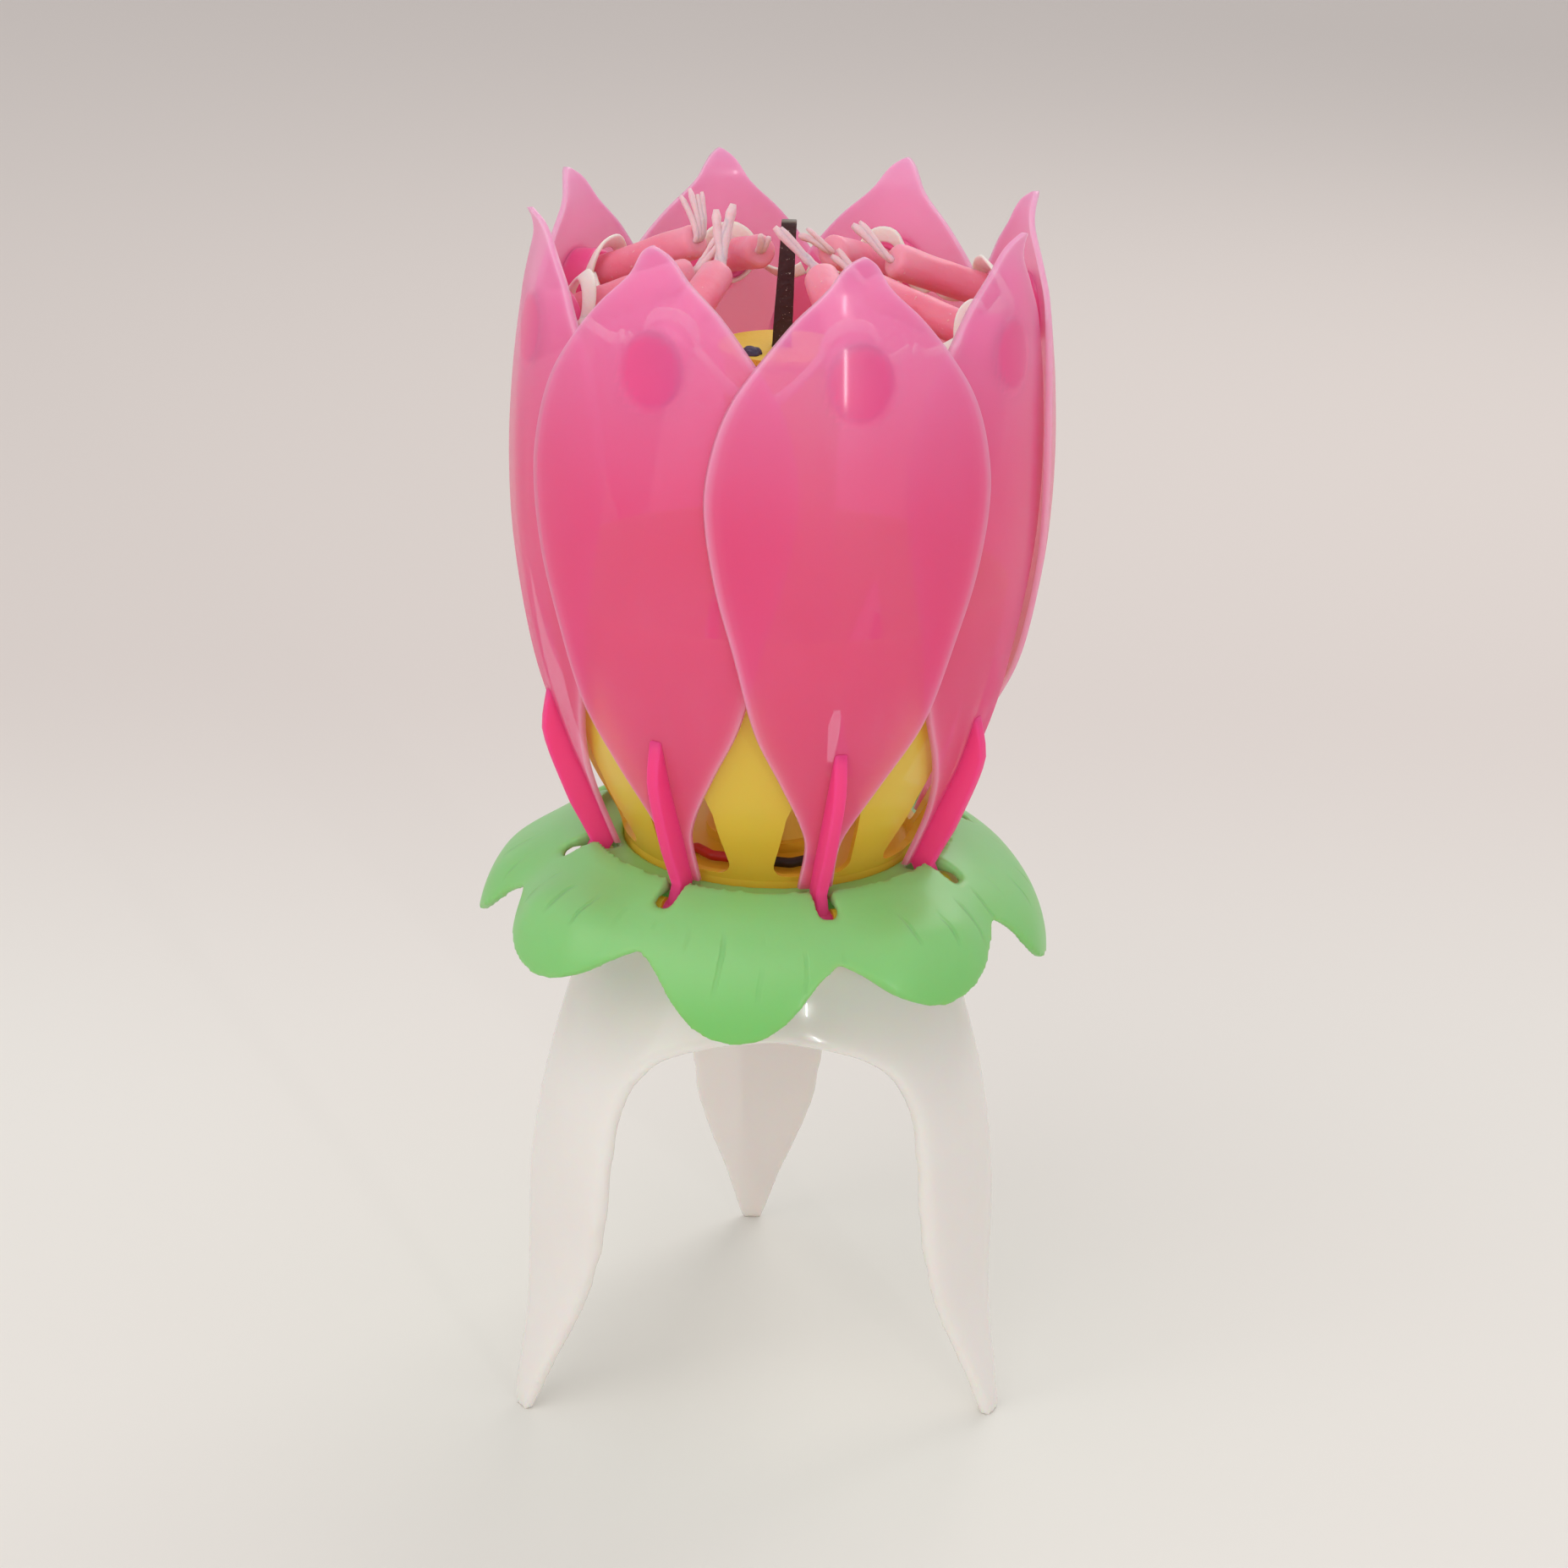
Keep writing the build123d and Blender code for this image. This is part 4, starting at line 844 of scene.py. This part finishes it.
for index in range(petal_count):
    number = index + 1
    start, along = candle_line(index)
    angle = first_petal_angle + petal_pitch * index
    place_on = candle_frame(index)
    turned = place_on.to_3x3()
    shape = bmesh.new()
    rings = []
    for step in range(loop_steps):
        turn = step / loop_steps * math.tau
        across, up = math.cos(turn), math.sin(turn)
        top = max(0.0, up)
        wave = noise.noise(Vector((across * 1.6, up * 1.6, number * 4.7)))
        drift = noise.noise(Vector((across * 1.2, up * 1.2, number * 2.3 + 9))) * loop_drift
        flare = math.radians(least_flare + (ribbon_flares[index] - least_flare) * top**0.8
                             + wave * flare_wave)
        radius = (ribbon_loop_radius + top**2 * ribbon_lifts[index] * mm + top * top_bulge
                  + max(0.0, wave) * wave_bulge)
        height = ribbon_loop_offset + drift + up * ribbon_draws[index] * mm + top * ribbon_top_offset
        outwards = Vector((across, up, 0))
        spot = place_on @ (outwards * radius + Vector((0, 0, height)))
        ahead = turned @ Vector((-up, across, 0))
        wide = turned @ (outwards * math.sin(flare) + Vector((0, 0, math.cos(flare))))
        width = ribbon_widths[index] * mm * (lower_width_share + (1 - lower_width_share) * top)
        rings.append(strip_ring(shape, facing(spot, ahead, wide), width, False))
    bridge(shape, rings + rings[:1])
    for side in (-1, 1):
        middle = angle + side * petal_pitch / 2
        root = (place_on @ Vector((0, 0, ribbon_loop_offset))
                + polar(1, angle + 90) * side * ribbon_loop_radius)
        height = span_end_heights[index if side == 1 else index - 1] * mm
        end = polar(span_end_radius, middle, height) - polar(1, middle + 90) * side * span_half_gap
        sag = polar(-span_draw, angle, -span_sag)
        rings = []
        for step in range(span_steps + 1):
            share = step / span_steps
            point = root.lerp(end, share) + sag * math.sin(math.pi * share)
            ahead = end - root + sag * math.pi * math.cos(math.pi * share)
            wide = along.lerp(Vector((0, 0, 1)), eased(share, 0.1, 0.9))
            width = span_width * (1 - span_narrowing * math.sin(math.pi * share))
            rings.append(strip_ring(shape, facing(point, ahead, wide), width, step in (0, span_steps)))
        bridge(shape, rings)
    bmesh.ops.recalc_face_normals(shape, faces=shape.faces)
    ribbon = as_piece(f"tie_ribbon_{number}", shape, ribbon_cloth)
    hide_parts(f"ribbon_{number}")
    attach(ribbon, f"petal_body_{number}")


# Fountain
# A wound paper tube full of spark powder stands in the cup's socket. A yellow paper disc closes it, with
# a dark dab of primer on it, and the fuse comes up through the disc.

tube_paper, place, shader = new_finish("wound_yellow_paper", {})
clouds = place.grain(3 * mm, 3)
fibres = place.node("Mapping", {}, {"Vector": place, "Scale": (1, 1, 0.15)}).grain(0.5 * mm, 3)
feed(shader, "Base Color", (clouds * 0.6 + fibres * 0.3).tint(paint(234, 198, 66), paint(246, 220, 110)))
feed(shader, "Roughness", 0.5 + fibres * 0.25)
feed(shader, "Normal", fibres.raised(0.06 * mm))
finish_node("fountain_tube", tube_paper)

disc_paper, place, shader = new_finish("yellow_paper_disc", {})
clouds = place.grain(2.2 * mm, 3)
specks = place.grain(0.4 * mm, 2).between(0.66, 0.74)
disc_colour = clouds.tint(paint(238, 194, 44), paint(248, 214, 84))
feed(shader, "Base Color", (specks * 0.35).tint(disc_colour, paint(160, 120, 40)))
feed(shader, "Roughness", 0.45 + clouds * 0.2)
feed(shader, "Normal", place.grain(0.5 * mm, 3).raised(0.08 * mm))
finish_node("fountain_cap", disc_paper)

powder, place, shader = new_finish("pressed_powder", {"Roughness": 0.9})
grains = place.grain(0.3 * mm, 2)
feed(shader, "Base Color", grains.tint(paint(60, 58, 56), paint(104, 100, 96)))
feed(shader, "Normal", grains.raised(0.1 * mm))
finish_node("fountain_charge", powder)

primer, place, shader = new_finish("dark_primer", {})
grains = place.grain(0.4 * mm, 3)
feed(shader, "Base Color", grains.tint(paint(44, 38, 66), paint(84, 70, 104)))
feed(shader, "Roughness", 0.4 + grains * 0.3)
feed(shader, "Normal", grains.raised(0.12 * mm))

cap_top_z = 129.5 * mm
dab_place = polar(5.4 * mm, -132, cap_top_z)
dab_radius = 1.25 * mm
dab_height = 0.8 * mm
dab_unevenness = 0.125 * mm
shape = bmesh.new()
bmesh.ops.create_icosphere(shape, subdivisions=4, radius=1)
for vert in shape.verts:
    flat = Vector((vert.co.x, vert.co.y, 0))
    ragged = 1
    if flat.length > 0.01:
        ragged += 0.3 * noise.noise(flat.normalized() * 1.7 + Vector((3, 1, 0)))
    lump = noise.noise(vert.co * 2.3 + Vector((7, 0, 0)))
    rise = vert.co.z * dab_height + lump * dab_unevenness if vert.co.z > 0 else 0
    vert.co = flat * dab_radius * ragged + Vector((0, 0, rise))
bmesh.ops.translate(shape, verts=shape.verts, vec=dab_place)
bmesh.ops.remove_doubles(shape, verts=shape.verts, dist=0.003 * mm)
dab = as_piece("primer_lump", shape, primer)
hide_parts("primer_dab")
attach(dab, "flower")

fuse_width = 2.2 * mm
fuse_thickness = 1.3 * mm
fuse_foot_z = 126.9 * mm
fuse_top_z = 144 * mm
fuse_length = fuse_top_z - fuse_foot_z
fuse_edge = 0.16 * mm
# The stick leans from the first place in X at its foot to the second at its top
fuse_lean = (-0.3 * mm, 0.25 * mm)
fuse_narrowing = 0.22
fuse_unevenness = 0.045 * mm
# The pale cut end starts and is complete this far below the top
fuse_cut = (0.25 * mm, 0.05 * mm)

fuse_paper, place, shader = new_finish("dark_fuse", {"Coat Weight": 0.15, "Coat Roughness": 0.3})
clouds = place.grain(1.6 * mm, 3)
specks = place.grain(0.32 * mm, 2).between(0.66, 0.72)
bark = clouds.tint(paint(42, 20, 20), paint(58, 30, 28))
speckled = (specks * 0.8).tint(bark, paint(196, 184, 172))
cut_end = place.along("Z").between(fuse_top_z - fuse_cut[0], fuse_top_z - fuse_cut[1])
feed(shader, "Base Color", (cut_end * 0.4).tint(speckled, paint(168, 156, 140)))
feed(shader, "Roughness", 0.4 + clouds * 0.3)
feed(shader, "Normal", place.grain(0.5 * mm, 3).raised(0.14 * mm))

shape = bmesh.new()
bmesh.ops.create_cube(shape, size=1)
bmesh.ops.translate(shape, verts=shape.verts, vec=(0, 0, 0.5))
bmesh.ops.scale(shape, verts=shape.verts, vec=(fuse_width, fuse_thickness, fuse_length))
bmesh.ops.bevel(shape, geom=shape.edges[:], offset=fuse_edge, segments=2, profile=0.5,
                affect="EDGES", material=-1)
long_edges = [edge for edge in shape.edges if edge.calc_length() > fuse_length / 2]
bmesh.ops.subdivide_edges(shape, edges=long_edges, cuts=30, use_grid_fill=True)
for vert in shape.verts:
    share = vert.co.z / fuse_length
    taper = 1 - fuse_narrowing * eased(share, 0.15, 1)
    rough = noise.noise(vert.co * 900) * fuse_unevenness * eased(share, 0.16, 0.3)
    lean = fuse_lean[0] + (fuse_lean[1] - fuse_lean[0]) * share
    vert.co.x = vert.co.x * taper + math.copysign(rough, vert.co.x) + lean
    vert.co.y = vert.co.y + math.copysign(rough * 0.7, vert.co.y)
bmesh.ops.translate(shape, verts=shape.verts, vec=(0, 0, fuse_foot_z))
fuse = as_piece("fuse_stick", shape, fuse_paper)
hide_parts("fountain_fuse")
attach(fuse, "flower")


# Leads and start switch
# Two sleeved wires come up through the floor of the cup and run to a small black switch, whose bright
# leaf feels the heat of the fountain.

def clouded(clouds, colour, share):
    """A colour that the clouds darken to a share of itself."""
    return clouds.tint(paint(*(value * share for value in colour)), paint(*colour))


for node, colour in (("red_lead", (206, 40, 34)), ("black_lead", (34, 32, 34))):
    sleeve, place, shader = new_finish(node + "_sleeve", {"Coat Weight": 0.1})
    clouds = place.grain(1.5 * mm, 2)
    feed(shader, "Base Color", clouded(clouds, colour, 0.8))
    feed(shader, "Roughness", 0.34 + clouds * 0.2)
    feed(shader, "Normal", place.grain(0.6 * mm, 2).raised(0.04 * mm))
    finish_node(node, sleeve)


def moulded(name, colour, roughness):
    """Plain moulded plastic with a faint cloud in its colour and shine."""
    material, place, shader = new_finish(name, {"IOR": 1.48})
    clouds = place.grain(6 * mm, 3)
    feed(shader, "Base Color", clouded(clouds, colour, 0.9))
    feed(shader, "Roughness", roughness + clouds * 0.14)
    feed(shader, "Normal", place.grain(0.7 * mm, 2).raised(0.05 * mm))
    return material


finish_node("start_switch", moulded("switch_black_plastic", (40, 39, 42), 0.36))


# Mechanism
# A white two-part case in the cup's foot, closed by three screws. Inside are a deck with a small motor
# and two button cells, a circuit board, and a sounder on its roof; the sun gear and spindle stay with
# the stand.

case_plastic = moulded("case_white_plastic", (226, 223, 214), 0.39)
for node in ("mechanism_case", "base_cover", "gear_deck", "motor_end_cap"):
    finish_node(node, case_plastic)
nylon = moulded("natural_nylon", (232, 230, 220), 0.44)
for node in ("sun_gear", "thrust_washer"):
    finish_node(node, nylon)


def metal(name, colour, roughness, stretch):
    """Bare metal with fine marks, drawn out across Z by stretch."""
    material, place, shader = new_finish(name, {"Metallic": 1})
    marks = place.node("Mapping", {}, {"Vector": place, "Scale": (1, 1, stretch)}).grain(0.25 * mm, 3)
    feed(shader, "Base Color", clouded(place.grain(4 * mm, 2), colour, 0.86))
    feed(shader, "Roughness", roughness + marks * 0.18)
    feed(shader, "Normal", marks.raised(0.01 * mm))
    return material


steel = metal("plain_steel", (186, 186, 190), 0.24, 6)
for node in ("spindle", "motor_can", "motor_shaft", "case_screws", "button_cells"):
    finish_node(node, steel)
brass = metal("plain_brass", (214, 178, 104), 0.26, 4)
for node in ("motor_pinion", "cell_contacts", "piezo_disc"):
    finish_node(node, brass)
finish_node("circuit_board", moulded("board_green_lacquer", (52, 112, 62), 0.29))
finish_node("melody_chip", moulded("chip_black_resin", (30, 30, 31), 0.24))
